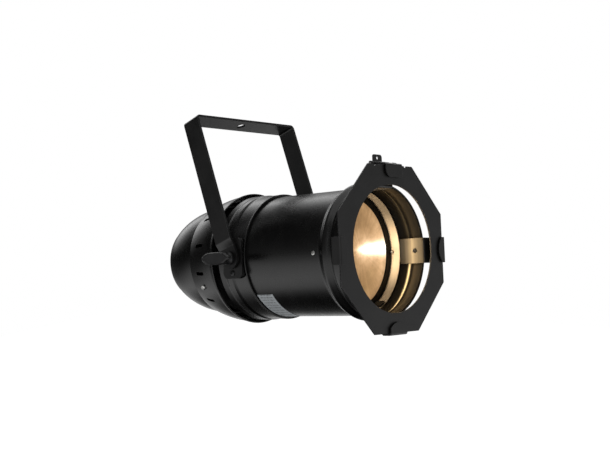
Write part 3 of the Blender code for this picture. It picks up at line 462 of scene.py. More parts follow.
def label_paper(name, low, high):
    """Blank grey rating label with faint generic rows and a rubbed surface."""
    n = Nodes(name)
    split = n.add("ShaderNodeSeparateXYZ")
    n.link(n.where, split.inputs["Vector"])
    y = n.ranged(split.outputs["Y"], low.y, high.y)
    z = n.ranged(split.outputs["Z"], low.z, high.z)
    rows = n.math("FRACT", n.math("MULTIPLY", z, 9.0))
    row = n.math("GREATER_THAN", rows, 0.5)
    dash = n.add("ShaderNodeTexNoise", noise_dimensions="2D", Scale=1.0, Detail=2.0)
    shape = n.add("ShaderNodeCombineXYZ")
    n.link(n.math("MULTIPLY", y, 16.0), shape.inputs["X"])
    n.link(n.math("FLOOR", n.math("MULTIPLY", z, 9.0)), shape.inputs["Y"])
    n.link(shape.outputs["Vector"], dash.inputs["Vector"])
    inked = n.math("MULTIPLY", row, n.ranged(dash.outputs["Fac"], 0.46, 0.5))
    inside = n.math("MULTIPLY", n.ranged(y, 0.08, 0.12), n.ranged(y, 0.92, 0.88))
    inked = n.math("MULTIPLY", n.math("MULTIPLY", inked, inside), 0.7)
    cloud = n.noise(300.0, 4.0)
    paper = n.blend(n.ranged(cloud, 0.35, 0.7), (0.42, 0.45, 0.47), (0.54, 0.57, 0.59))
    colour = n.blend(inked, paper, (0.1, 0.106, 0.11))
    n.set(Base_Color=colour, Roughness=n.ranged(cloud, 0.3, 0.7, 0.4, 0.55))
    return n.material


def printed_panel(name):
    """Black rear panel with pale outlines round the display, the sockets and the buttons."""
    n = Nodes(name)
    origin = n.add("ShaderNodeVectorMath", operation="SUBTRACT")
    n.link(n.where, origin.inputs[0])
    origin.inputs[1].default_value = AXIS
    split = n.add("ShaderNodeSeparateXYZ")
    n.link(origin.outputs["Vector"], split.inputs["Vector"])
    x = n.math("DIVIDE", split.outputs["X"], MM)
    z = n.math("DIVIDE", split.outputs["Z"], MM)

    def line(distance, half=0.22):
        return n.ranged(n.math("ABSOLUTE", distance), half, half + 0.12, 1.0, 0.0)

    def ring(across, up, radius):
        a = n.math("POWER", n.math("SUBTRACT", n.math("ABSOLUTE", x), across), 2.0)
        b = n.math("POWER", n.math("SUBTRACT", z, up), 2.0)
        return line(n.math("SUBTRACT", n.math("SQRT", n.math("ADD", a, b)), radius))

    def frame_of(across, up, half_wide, half_tall):
        a = n.math("SUBTRACT", n.math("ABSOLUTE", n.math("SUBTRACT", x, across)), half_wide)
        b = n.math("SUBTRACT", n.math("ABSOLUTE", n.math("SUBTRACT", z, up)), half_tall)
        return line(n.math("MAXIMUM", a, b))

    ink = n.math("MAXIMUM", ring(15.5, -6.0, 14.3), frame_of(0.0, 27.0, 18.0, 9.4))
    for number in range(4):
        ink = n.math("MAXIMUM", ink, frame_of((number - 1.5) * 11.0, 8.3, 1.6, 0.1))
    ink = n.math("MAXIMUM", ink, frame_of(0.0, -30.0, 16.0, 11.2))
    worn = n.ranged(n.noise(500.0, 4.0), 0.3, 0.45, 0.5, 1.0)
    ink = n.math("MULTIPLY", n.math("MULTIPLY", ink, worn), 0.7)
    cloud = n.noise(60.0, 4.0, 0.6)
    paint = n.blend(n.ranged(cloud, 0.35, 0.7), (0.012, 0.012, 0.0125), (0.02, 0.02, 0.0205))
    n.set(Base_Color=n.blend(ink, paint, (0.6, 0.6, 0.58)),
          Roughness=n.ranged(cloud, 0.3, 0.7, 0.34, 0.46),
          Normal=n.bump(n.noise(900.0, 3.0), 0.00003, 0.25))
    return n.material


def circuit_board(name):
    n = Nodes(name)
    traces = n.add("ShaderNodeTexVoronoi", feature="DISTANCE_TO_EDGE", Scale=420.0)
    n.link(n.where, traces.inputs["Vector"])
    line = n.ranged(traces.outputs["Distance"], 0.03, 0.06)
    colour = n.blend(line, (0.05, 0.3, 0.12), (0.012, 0.1, 0.04))
    n.set(Base_Color=colour, Roughness=n.ranged(n.noise(200.0), 0.3, 0.7, 0.3, 0.5),
          Normal=n.bump(line, 0.00003, 0.5))
    return n.material


def phosphor(name, centre):
    n = Nodes(name)
    cells = n.add("ShaderNodeTexVoronoi", Scale=700.0)
    n.link(n.where, cells.inputs["Vector"])
    colour = n.blend(n.ranged(cells.outputs["Distance"], 0.1, 0.6), (1.0, 0.72, 0.12),
                     (0.8, 0.5, 0.06))
    n.set(Base_Color=colour, Roughness=0.45, Emission_Color=(1.0, 0.75, 0.42),
          Emission_Strength=4.0)
    return n.material


def dark_window(name):
    n = Nodes(name)
    smudge = n.noise(160.0, 4.0)
    colour = n.blend(n.ranged(smudge, 0.4, 0.7), (0.006, 0.009, 0.014), (0.012, 0.016, 0.024))
    n.set(Base_Color=colour, Roughness=n.ranged(smudge, 0.3, 0.8, 0.05, 0.22),
          Coat_Weight=0.5, Coat_Roughness=0.03)
    return n.material


def fibre(name):
    n = Nodes(name)
    strands = n.noise(1400.0, 4.0, 0.7, (1.0, 0.25, 1.0))
    colour = n.blend(n.ranged(strands, 0.3, 0.7), (0.05, 0.042, 0.034), (0.13, 0.11, 0.09))
    n.set(Base_Color=colour, Roughness=0.85, Normal=n.bump(strands, 0.00005, 0.8))
    return n.material


# ------------------------------------------------------------------ modelling helpers

def place(point):
    return AXIS + Vector(point) * MM


def rounded(points, radius, closed=True, steps=4):
    """Round a flat polyline's corners. radius is one number or one for each corner."""
    made = []
    count = len(points)
    for number, point in enumerate(points):
        size = radius[number] if isinstance(radius, (list, tuple)) else radius
        here = Vector(point)
        ends = not closed and number in (0, count - 1)
        before = Vector(points[number - 1])
        after = Vector(points[(number + 1) % count])
        if size <= 0.0 or ends:
            made.append(tuple(here))
            continue
        back, ahead = before - here, after - here
        angle = back.angle(ahead)
        if angle > math.pi - 0.02 or angle < 0.02:
            made.append(tuple(here))
            continue
        reach = min(size / math.tan(angle / 2), 0.49 * back.length, 0.49 * ahead.length)
        size = reach * math.tan(angle / 2)
        centre = here + (back.normalized() + ahead.normalized()).normalized() * (
            size / math.sin(angle / 2))
        start = here + back.normalized() * reach - centre
        sweep = start.angle_signed(here + ahead.normalized() * reach - centre)
        for step in range(steps + 1):
            turned = start.copy()
            turned.rotate(Matrix.Rotation(-sweep * step / steps, 2))
            made.append(tuple(centre + turned))
    return made


def thick_line(path, thick):
    """Closed outline round an open path, thick/2 to each side."""
    left, right = [], []
    points = [Vector(p) for p in path]
    for number, point in enumerate(points):
        along = Vector((0.0, 0.0))
        if number > 0:
            along += (point - points[number - 1]).normalized()
        if number < len(points) - 1:
            along += (points[number + 1] - point).normalized()
        along.normalize()
        side = Vector((-along.y, along.x))
        if 0 < number < len(points) - 1:
            lean = (points[number + 1] - point).normalized()
            side /= max(0.5, abs(side.dot(Vector((-lean.y, lean.x)))))
        left.append(tuple(point + side * thick / 2))
        right.append(tuple(point - side * thick / 2))
    return left + right[::-1]


def arc(centre, radius, start, end, steps):
    points = []
    for step in range(steps + 1):
        angle = math.radians(start + (end - start) * step / steps)
        points.append((centre[0] + radius * math.cos(angle),
                       centre[1] + radius * math.sin(angle)))
    return points


def circle(centre, radius, sides=32):
    return arc(centre, radius, 0.0, 360.0, sides)[:-1]


def prism(outline, low, high, axis="Y", chamfer=0.0, segments=2):
    """Extrude a flat outline; its points are in the other two axes' order."""
    order = {"X": (2, 0, 1), "Y": (0, 2, 1), "Z": (0, 1, 2)}[axis]

    def spot(a, b, c):
        values = (a, b, c)
        return tuple(values[i] for i in order)

    shape = bmesh.new()
    bottom = [shape.verts.new(spot(a, b, low)) for a, b in outline]
    top = [shape.verts.new(spot(a, b, high)) for a, b in outline]
    ends = [shape.faces.new(bottom), shape.faces.new(top)]
    for here in range(len(outline)):
        after = (here + 1) % len(outline)
        shape.faces.new((bottom[here], bottom[after], top[after], top[here]))
    if chamfer > 0.0:
        rims = list({edge for face in ends for edge in face.edges})
        bmesh.ops.bevel(shape, geom=rims, offset=chamfer, segments=segments, profile=0.5,
                        affect="EDGES", clamp_overlap=True)
    bmesh.ops.recalc_face_normals(shape, faces=shape.faces)
    return shape


def lathe(outline, segments=160):
    """Turn (y, r) points about the Y axis; r = 0 closes an end."""
    shape = bmesh.new()
    rings = []
    for y, r in outline:
        if r <= 1e-6:
            rings.append([shape.verts.new((0.0, y, 0.0))] * segments)
            continue
        ring = []
        for number in range(segments):
            angle = math.tau * (number + 0.5) / segments
            ring.append(shape.verts.new((r * math.cos(angle), y, r * math.sin(angle))))
        rings.append(ring)
    pairs = list(zip(rings, rings[1:]))
    if outline[0][1] > 1e-6:
        pairs.append((rings[-1], rings[0]))
    for first, second in pairs:
        for here in range(segments):
            after = (here + 1) % segments
            corners = (first[here], first[after], second[after], second[here])
            shape.faces.new(list(dict.fromkeys(corners)))
    bmesh.ops.recalc_face_normals(shape, faces=shape.faces)
    return shape


def spun(shape, angle):
    """Turn a shape made at +X about the beam axis: 90 is up."""
    bmesh.ops.rotate(shape, verts=shape.verts, cent=(0.0, 0.0, 0.0),
                     matrix=Matrix.Rotation(-math.radians(angle), 3, "Y"))
    return shape


def along_x(shape):
    """Turn a lathed shape so that its axis points along +X."""
    bmesh.ops.rotate(shape, verts=shape.verts, cent=(0.0, 0.0, 0.0),
                     matrix=Matrix.Rotation(-math.pi / 2, 3, "Z"))
    return shape


def shifted(shape, offset):
    bmesh.ops.translate(shape, verts=shape.verts, vec=offset)
    return shape


def mirrored(shape, side):
    if side < 0:
        bmesh.ops.scale(shape, vec=(-1.0, 1.0, 1.0), verts=shape.verts)
        bmesh.ops.reverse_faces(shape, faces=shape.faces)
    return shape


def merged(*shapes):
    whole = bmesh.new()
    for shape in shapes:
        mesh = bpy.data.meshes.new("part")
        shape.to_mesh(mesh)
        shape.free()
        whole.from_mesh(mesh)
        bpy.data.meshes.remove(mesh)
    return whole


def raw_object(name, shape):
    """A bmesh in can-frame millimetres as an object in the row frame."""
    bmesh.ops.scale(shape, vec=(MM, MM, MM), verts=shape.verts)
    bmesh.ops.translate(shape, verts=shape.verts, vec=AXIS)
    mesh = bpy.data.meshes.new(name)
    shape.to_mesh(mesh)
    shape.free()
    thing = bpy.data.objects.new(name, mesh)
    bpy.context.scene.collection.objects.link(thing)
    return thing


def applied(thing):
    """Turn the object's modifiers into its mesh."""
    graph = bpy.context.evaluated_depsgraph_get()
    mesh = bpy.data.meshes.new_from_object(thing.evaluated_get(graph))
    thing.modifiers.clear()
    old = thing.data
    thing.data = mesh
    bpy.data.meshes.remove(old)
    return thing


def combined(thing, operation, *shapes):
    """Apply exact Booleans with these shapes to an object's mesh."""
    tools = []
    for shape in shapes:
        tool = raw_object(f"tool_{len(tools)}", shape)
        step = thing.modifiers.new("step", "BOOLEAN")
        step.operation = operation
        step.solver = "EXACT"
        step.object = tool
        tools.append(tool)
    applied(thing)
    for tool in tools:
        data = tool.data
        bpy.data.objects.remove(tool)
        bpy.data.meshes.remove(data)
    return thing


def cut(thing, *shapes):
    return combined(thing, "DIFFERENCE", *shapes)


def join(thing, *shapes):
    return combined(thing, "UNION", *shapes)


def trim(thing, *shapes):
    return combined(thing, "INTERSECT", *shapes)


def softened(thing, width, segments=2, angle=40.0):
    """Bevel the sharp edges and apply it."""
    step = thing.modifiers.new("soft", "BEVEL")
    step.width = width * MM
    step.segments = segments
    step.limit_method = "ANGLE"
    step.angle_limit = math.radians(angle)
    step.harden_normals = False
    return applied(thing)


def dressed(thing, material, body, slot, *nodes, smooth=32.0):
    """Shade a piece, hang it on its body and let it stand for its CAD nodes."""
    thing.data.materials.clear()
    thing.data.materials.append(material)
    thing.data.shade_smooth()
    thing.data.set_sharp_from_angle(angle=math.radians(smooth))
    flat = thing.modifiers.new("flat_faces", "WEIGHTED_NORMAL")
    flat.keep_sharp = True
    applied(thing)
    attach(thing, body)
    if nodes:
        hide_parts(*nodes)
    return thing


def lined(thing, material, low=-1000.0, high=1000.0):
    """Give the faces between two stations that look towards the beam axis another material."""
    thing.data.materials.append(material)
    for face in thing.data.polygons:
        middle = face.center - AXIS
        out = Vector((middle.x, 0.0, middle.z)).normalized()
        if out.dot(face.normal) < -0.5 and low < middle.y / MM < high:
            face.material_index = 1


# ------------------------------------------------------------------ shared sizes

TUBE_R = 73.3
WALL = 1.3
RING_R = 75.9
RING_BEAD_R = 76.9
PIVOT = (178.5, -0.8)
CLIP_ANGLES = {"right": 0.0, "top": 90.0, "left": 180.0, "bottom": 270.0}
BAND_SCREWS = (-26.0, 55.0, 125.0, 206.0)
BAND_SCREW_Y = 240.2
BAND_REAR = 263.0
RING_OPEN = 64.0
VENT_ANGLES = (-41.0, -13.0, 13.0, 41.0)


def bump_of(y, centre, half_width, height):
    reach = abs(y - centre) / half_width
    return height * math.cos(reach * math.pi / 2) ** 2 if reach < 1.0 else 0.0


def collar_radius(y):
    along = (y - 12.0) / 36.0
    shoulder = 1.5 * max(0.0, 1.0 - ((y - 20.5) / 8.5) ** 4)
    return 75.6 - 0.6 * along + bump_of(y, 37.0, 9.5, 4.1) + shoulder


def band_radius(y):
    along = (y - 216.0) / (BAND_REAR - 216.0)
    return 79.6 - 2.6 * along - 7.45 * along ** 2


def dome_radius(y):
    along = max(0.0, (y - 254.0) / 98.0)
    return 68.2 * math.sqrt(1.0 - along ** 2)


def stations(start, end, step):
    count = max(2, round((end - start) / step))
    return [start + (end - start) * number / count for number in range(count + 1)]


# ------------------------------------------------------------------ housing

def cross_holes(y, z, radius, sides=24):
    outline = circle((y, z), radius, sides)
    return [prism(outline, 60.0, 90.0, "X"), prism(outline, -90.0, -60.0, "X")]


def build_tube(paint, painted_beam_lining):
    inner = TUBE_R - WALL
    rear = 190.0
    outline = rounded([(45.0, TUBE_R), (rear, TUBE_R), (rear, inner), (45.0, inner)], 0.5)
    tube = raw_object("tube", lathe(outline, 192))
    half = 3.5
    ends = arc((half, 132.0 - half), half, 0.0, 180.0, 16)
    starts = arc((half, 48.0 + half), half, 180.0, 360.0, 16)
    slot = prism([(y, x - half) for x, y in ends + starts], 65.0, 82.0, "X")
    cutters = [spun(slot, -60.0)] + cross_holes(56.0, 0.0, 1.9)
    cutters += cross_holes(*PIVOT, 4.3)
    cut(tube, *cutters)
    dressed(tube, paint, "can", "housing_black", "front_tube")
    # Inward faces take the painted beam light.
    lined(tube, painted_beam_lining)


def build_collar(paint, painted_beam_lining):
    outside = [(y, collar_radius(y)) for y in stations(13.0, 48.0, 0.9)]
    inside = [(y, r - (1.2 if y < 43.0 else 1.55)) for y, r in outside[::-1]]
    hem = arc((13.0, collar_radius(13.0) - 0.75), 1.35, 270.0, 450.0, 12)
    hem = [(13.0 - (x - 13.0), r) for x, r in hem]
    outline = inside[:-1] + hem + outside[1:]
    collar = raw_object("collar", lathe(outline, 192))
    cut(collar, *[spun(prism(circle((22.0, 0.0), 1.9, 24), 68.0, 84.0, "X"), angle)
                  for angle in CLIP_ANGLES.values()])
    dressed(collar, paint, "can", "housing_black", "front_collar", smooth=50.0)
    # Inward faces rear of station 12 mm take the painted beam light.
    lined(collar, painted_beam_lining, 12.0)


def build_rear_ring(paint):
    front = 161.0
    outline = [(front, RING_R - 0.5), (front + 0.5, RING_R + 0.5), (front + 1.7, RING_R),
               (182.5, RING_R), (184.5, RING_R + 0.35), (186.5, RING_BEAD_R), (193.5, RING_BEAD_R),
               (195.5, RING_R + 0.5), (197.5, RING_R + 0.2), (203.6, RING_BEAD_R - 0.2),
               (204.6, RING_BEAD_R), (205.0, RING_BEAD_R - 0.4), (205.0, RING_R - 0.3),
               (191.5, TUBE_R + 1.3), (191.5, TUBE_R + 0.3), (front, TUBE_R + 0.3)]
    sizes = [0.3, 0.6, 0.9, 3.0, 3.0, 2.0, 2.0, 3.0, 3.0, 1.0, 0.5, 0.3, 0.3, 1.0, 0.2, 0.2]
    ring = raw_object("rear_housing_ring", lathe(rounded(outline, sizes), 192))
    cut(ring, *cross_holes(*PIVOT, 4.3))
    dressed(ring, paint, "can", "housing_black", "rear_ring", smooth=40.0)


def build_band(paint):
    body = [(y, band_radius(y)) for y in stations(216.5, BAND_REAR, 2.5)]
    lip_r = 81.0
    outside = [(212.3, lip_r - 0.3), (212.9, lip_r), (213.7, lip_r - 0.05), (214.8, lip_r - 0.7)]
    inside = [(y, r - WALL) for y, r in body[::-1]]
    inside += [(214.6, lip_r - 2.0), (213.2, lip_r - 1.4), (212.2, lip_r - 1.1)]
    band = raw_object("vented_band", lathe(outside + body + inside, 192))
    cutters = []
    for side in (0.0, 180.0):
        for angle in VENT_ANGLES:
            outline = rounded(outline_box(232.8, 249.2, -2.2, 2.2), 2.0)
            cutters.append(spun(prism(outline, 65.0, 85.0, "X"), side + angle))
    for angle in BAND_SCREWS:
        cutters.append(spun(prism(circle((BAND_SCREW_Y, 0.0), 2.1, 20), 65.0, 85.0, "X"), angle))
    cut(band, *cutters)
    dressed(band, paint, "can", "housing_black", "rear_band", smooth=45.0)


def build_dome(paint):
    outside = [(y, dome_radius(y)) for y in stations(252.0, 323.5, 2.6)]
    corner = [(323.4 + 2.6 * math.cos(math.radians(a)), 45.4 + 2.6 * math.sin(math.radians(a)))
              for a in (72.0, 54.0, 36.0, 18.0, 0.0)]
    lip = [(326.0, 44.0), (325.6, 43.3), (324.8, 43.2)]
    inside = [(y, max(dome_radius(y) - 1.9, 44.4)) for y in stations(254.0, 324.6, 6.0)[::-1]]
    inside += [(252.0, dome_radius(252.0) - 1.3)]
    outline = outside + corner + lip + inside
    dome = raw_object("dome", lathe(outline, 192))
    dressed(dome, paint, "can", "housing_black", "rear_dome", smooth=45.0)


def build_label(material_for):
    low, high = TUBE_R + 0.12, TUBE_R + 0.42
    outline = [(135.0, high), (159.5, high), (159.5, low), (135.0, low)]
    sheet = raw_object("rating_label", lathe(outline, 192))
    wedge = [(0.0, 0.0)] + arc((0.0, 0.0), 100.0, 217.5, 261.0, 12)
    trim(sheet, prism(wedge, 130.0, 165.0, "Y"))
    dressed(sheet, material_for, "can", "label_grey", "label")


# ------------------------------------------------------------------ screws

def screw_head(name, radius, height, shank_r, shank, material, body, slot, node, spot, turn,
               pan=0.55):
    """Pan-head cross-recess screw along +X with its seat at x = 0, then moved by `turn`."""
    dome = [(height * math.sin(math.radians(a)) * pan + height * (1 - pan),
             radius * math.cos(math.radians(a))) for a in (0.0, 18.0, 36.0, 54.0, 72.0)]
    outline = [(-shank, 0.0), (-shank, shank_r)]
    threads = max(2, int(shank / 0.8))
    for number in range(threads):
        y = -shank + (number + 0.5) * shank / threads
        outline += [(y, shank_r), (y + shank / threads * 0.45, shank_r * 0.86)]
    outline += [(-0.02, shank_r), (0.0, radius * 0.96), (height * 0.12, radius)] + dome
    outline.append((height, 0.0))
    head = raw_object(name, turn(along_x(lathe(outline, 40))))
    arm = radius * 0.5
    wide = radius * 0.13
    cross = [prism(outline_box(-wide, wide, -arm, arm), height * 0.45, height * 2.0, "X"),
             prism(outline_box(-arm, arm, -wide, wide), height * 0.45, height * 2.0, "X")]
    cut(head, *[turn(arm_cutter) for arm_cutter in cross])
    nodes = (node,) if node else ()
    dressed(head, material, body, slot, *nodes, smooth=38.0)


def outline_box(left, right, low, high):
    return [(left, low), (right, low), (right, high), (left, high)]


def build_screws(paint_screw, zinc, black):
    face = 79.0
    for side, hand in ((-1, "left"), (1, "right")):
        for place_name, z in (("upper", PIVOT[1] + 17.5), ("lower", PIVOT[1] - 17.5)):
            def turn(shape, side=side, z=z):
                return mirrored(shifted(shape, (face + 0.12, PIVOT[0], z)), side)
            screw_head(f"bracket_screw_head_{hand}_{place_name}", 3.4, 1.3, 1.9, 8.4, black,
                       "can", "steel_black", f"bracket_screw_{hand}_{place_name}", None, turn)

        def turn_stop(shape, side=side):
            return mirrored(shifted(shape, (TUBE_R + 0.1, 56.0, 0.0)), side)
        screw_head(f"stop_screw_head_{hand}", 2.6, 1.2, 1.5, 4.2, paint_screw, "can", "zinc",
                   f"stop_screw_{hand}", None, turn_stop)
    for number, angle in enumerate(BAND_SCREWS, 1):
        seat = band_radius(BAND_SCREW_Y - 3.2) + 0.25

        def turn_band(shape, angle=angle, seat=seat):
            return spun(shifted(shape, (seat, BAND_SCREW_Y, 0.0)), angle)
        screw_head(f"dome_screw_head_{number}", 3.2, 1.7, 1.5, 6.4, zinc, "can", "zinc",
                   f"dome_screw_{number}", None, turn_band)
    for hand, angle in CLIP_ANGLES.items():
        def turn_rivet(shape, angle=angle):
            bmesh.ops.rotate(shape, verts=shape.verts, cent=(0.0, 0.0, 0.0),
                             matrix=Matrix.Rotation(math.pi, 3, "Y"))
            return spun(shifted(shape, (70.78, 22.0, 0.0)), angle)
        screw_head(f"clip_screw_head_{hand}", 2.7, 1.0, 1.5, 5.0, black, "can", "steel_black",
                   f"clip_rivet_{hand}", None, turn_rivet)


# ------------------------------------------------------------------ pivots and yoke

def build_brackets(steel):
    y, z = PIVOT
    for side, hand in ((-1, "left"), (1, "right")):
        outline = rounded(outline_box(y - 15.5, y + 15.5, z - 24.0, z + 24.0), 7.0, steps=10)
        pad = raw_object(f"bracket_{hand}", mirrored(prism(outline, 66.0, 79.0, "X", 0.8, 3), side))
        profile = [(y - 30.0, 0.0), (y - 30.0, RING_BEAD_R + 0.3), (y + 30.0, RING_BEAD_R + 0.3),
                   (y + 30.0, 0.0)]
        cut(pad, lathe(profile, 192), *cross_holes(y, z, 4.3))
        dressed(pad, steel, "can", "steel_black", f"pivot_bracket_{hand}")


def build_washers(material):
    y, z = PIVOT
    for side, hand in ((-1, "left"), (1, "right")):
        shape = prism(circle((y, z), 11.0, 64), 79.3, 80.6, "X", 0.2, 2)
        washer = raw_object(f"friction_washer_{hand}", mirrored(shape, side))
        cut(washer, mirrored(prism(circle((y, z), 4.3, 32), 70.0, 90.0, "X"), side))
        dressed(washer, material, "yoke", "fibre", f"pivot_washer_{hand}")


def build_yoke(paint):
    lean = math.radians(18.2)
    y, z = PIVOT
    thick = 3.0
    out_x, foot_x, top = 87.0 - thick / 2, 80.9 + thick / 2, 182.0 - thick / 2
    half = 12.7
    arm = [(foot_x, -half), (foot_x, 13.4), (out_x, 21.4), (out_x, top)]
    path = arm + [(-x, h) for x, h in arm[::-1]]
    sizes = [0.0, 4.0, 4.0, 3.6, 3.6, 4.0, 4.0, 0.0]
    outline = thick_line(rounded(path, sizes, closed=False, steps=6), thick)
    strap = raw_object("yoke_strap", prism(outline, -half, half, "Y"))
    feet = arc((0.0, 0.0), half, 180.0, 360.0, 28) + [(half, 190.0), (-half, 190.0)]
    trim(strap, prism(feet, -95.0, 95.0, "X"))
    cut(strap, prism(circle((0.0, 0.0), 4.3, 32), -95.0, 95.0, "X"),
        prism(circle((0.0, 0.0), 5.5, 40), 170.0, 190.0, "Z"))
    softened(strap, 0.45, 2, 50.0)
    shift = Matrix.Translation(AXIS)
    pivot = Matrix.Translation(Vector((0.0, y, z)) * MM)
    turn = Matrix.Rotation(-lean, 4, "X")
    strap.data.transform(shift @ pivot @ turn @ shift.inverted())
    dressed(strap, paint, "yoke", "housing_black", "yoke", smooth=28.0)


def build_knobs(plastic, zinc):
    y, z = PIVOT
    for side, hand in ((-1, "left"), (1, "right")):
        seat = 84.2
        profile = [(67.0, 0.0), (67.0, 3.4), (67.6, 3.9)]
        profile += [(seat, 3.9), (seat, 8.0), (seat + 2.6, 8.0), (seat + 3.2, 7.4)]
        profile += [(seat + 5.0, 6.5), (94.0, 5.6), (100.0, 5.7), (103.5, 6.4), (103.5, 0.0)]
        sizes = [0.0, 0.2, 0.2, 0.1, 0.5, 0.8, 0.6, 2.0, 4.0, 2.0, 0.5, 0.0]
        shape = along_x(lathe(rounded(profile, sizes, closed=False, steps=5), 64))
        knob = raw_object(f"t_knob_{hand}", mirrored(shifted(shape, (0.0, y, z)), side))
        long, tall = 22.8, 7.4
        upper = [(long, 1.6), (long * 0.66, tall * 0.86), (long * 0.3, tall)]
        upper += [(-a, b) for a, b in upper[::-1]]
        ring = upper + [(a, -b) for a, b in upper[::-1]]
        ring = rounded(ring, 3.0, steps=4)
        levels = ((102.6, 0.80), (103.4, 0.93), (104.6, 1.0), (106.6, 1.0), (108.2, 0.96),
                  (108.9, 0.88), (108.9, 0.80), (108.35, 0.77))
        bar = bmesh.new()
        loops = []
        for x, grow in levels:
            loops.append([bar.verts.new((x, y + a * grow, z + b * grow)) for a, b in ring])
        bar.faces.new(loops[0])
        bar.faces.new(loops[-1])
        for first, second in zip(loops, loops[1:]):
            for here in range(len(ring)):
                after = (here + 1) % len(ring)
                bar.faces.new((first[here], first[after], second[after], second[here]))
        bmesh.ops.recalc_face_normals(bar, faces=bar.faces)
        join(knob, mirrored(bar, side))
        knob.data.materials.clear()
        dressed(knob, plastic, f"knob_{hand}", "knob_black", f"pivot_knob_{hand}", smooth=42.0)


# ------------------------------------------------------------------ gel frame, clips, latch

def build_gel_frame(steel):
    wide, tall, flat, rise = 95.0, 94.5, 40.5, 1.8
    corners = [(flat, tall), (wide, flat), (wide, -flat), (flat, -tall),
               (-flat, -tall), (-wide, -flat), (-wide, flat), (-flat, tall)]
    outline = rounded([(x, z + rise) for x, z in corners], 1.2, steps=3)
    plate = raw_object("gel_frame_plate", prism(outline, -0.8, 0.8, "Y"))
    cutters = [prism(circle((0.0, rise), 72.3, 192), -5.0, 5.0, "Y")]
    for x in (-27.8, 27.8):
        cutters.append(prism(circle((x, tall + rise + 0.6), 2.6, 24), -5.0, 5.0, "Y"))
    cut(plate, *cutters)
    softened(plate, 0.22, 2, 40.0)
    dressed(plate, steel, "can", "steel_black", "gel_frame")


def hooked(name, reach, tab, angle, steel, lit, node):
    thick, root, back, front = 1.4, 72.3, 10.0, -3.6
    half = 15.0
    tip = reach - tab
    path = [(44.6, root - thick / 2), (back - thick / 2, root - thick / 2),
            (back - thick / 2, reach - thick / 2), (front + thick / 2, reach - thick / 2),
            (front + thick / 2, tip - 0.4)]
    line = rounded(path, [0.0, 1.8, 1.8, 1.8, 0.0], closed=False, steps=5)
    outline = thick_line(line, thick)
    strip = raw_object(name, spun(prism([(r, y) for y, r in outline], -half, half, "Z"), angle))
    bulge = 20.5
    centre = tip + bulge
    edge = half + 0.4
    swing = math.degrees(math.asin(edge / bulge))
    nose = arc((centre, 0.0), bulge, 180.0 - swing, 180.0 + swing, 20)
    block = prism(outline_box(-20.0, reach + 5.0, -edge, edge), -1.5, 60.0, "Y")
    hood = [(reach + 6.0, -edge)] + [(x, -z) for x, z in nose] + [(reach + 6.0, edge)]
    hood = prism(hood, front - 3.0, 55.0, "Y")
    trim(strip, spun(merged_solid(block, hood), angle))
    cut(strip, spun(prism(circle((22.0, 0.0), 1.9, 24), 65.0, 80.0, "X"), angle))
    softened(strip, 0.25, 2, 50.0)
    dressed(strip, steel, "can", "steel_black", node, smooth=30.0)
    # Inward faces rear of station 9.5 mm take the painted beam light.
    lined(strip, lit, 9.5)


def merged_solid(first, second):
    """Union of two overlapping bmeshes, in the same millimetres."""
    a = raw_object("first", first)
    join(a, second)
    shape = bmesh.new()
    shape.from_mesh(a.data)
    data = a.data
    bpy.data.objects.remove(a)
    bpy.data.meshes.remove(data)
    bmesh.ops.translate(shape, verts=shape.verts, vec=-AXIS)
    bmesh.ops.scale(shape, vec=(1 / MM, 1 / MM, 1 / MM), verts=shape.verts)
    return shape


def build_clips(steel, lit):
    side = 95.0 + 1.1 + 1.4
    low = 94.5 - 1.8 + 1.1 + 1.4
    hooked("hook_clip_left", side, 12.5, 180.0, steel, lit, "clip_left")
    hooked("hook_clip_right", side, 12.5, 0.0, steel, lit, "clip_right")
    hooked("hook_clip_bottom", low, 14.8, 270.0, steel, lit, "clip_bottom")


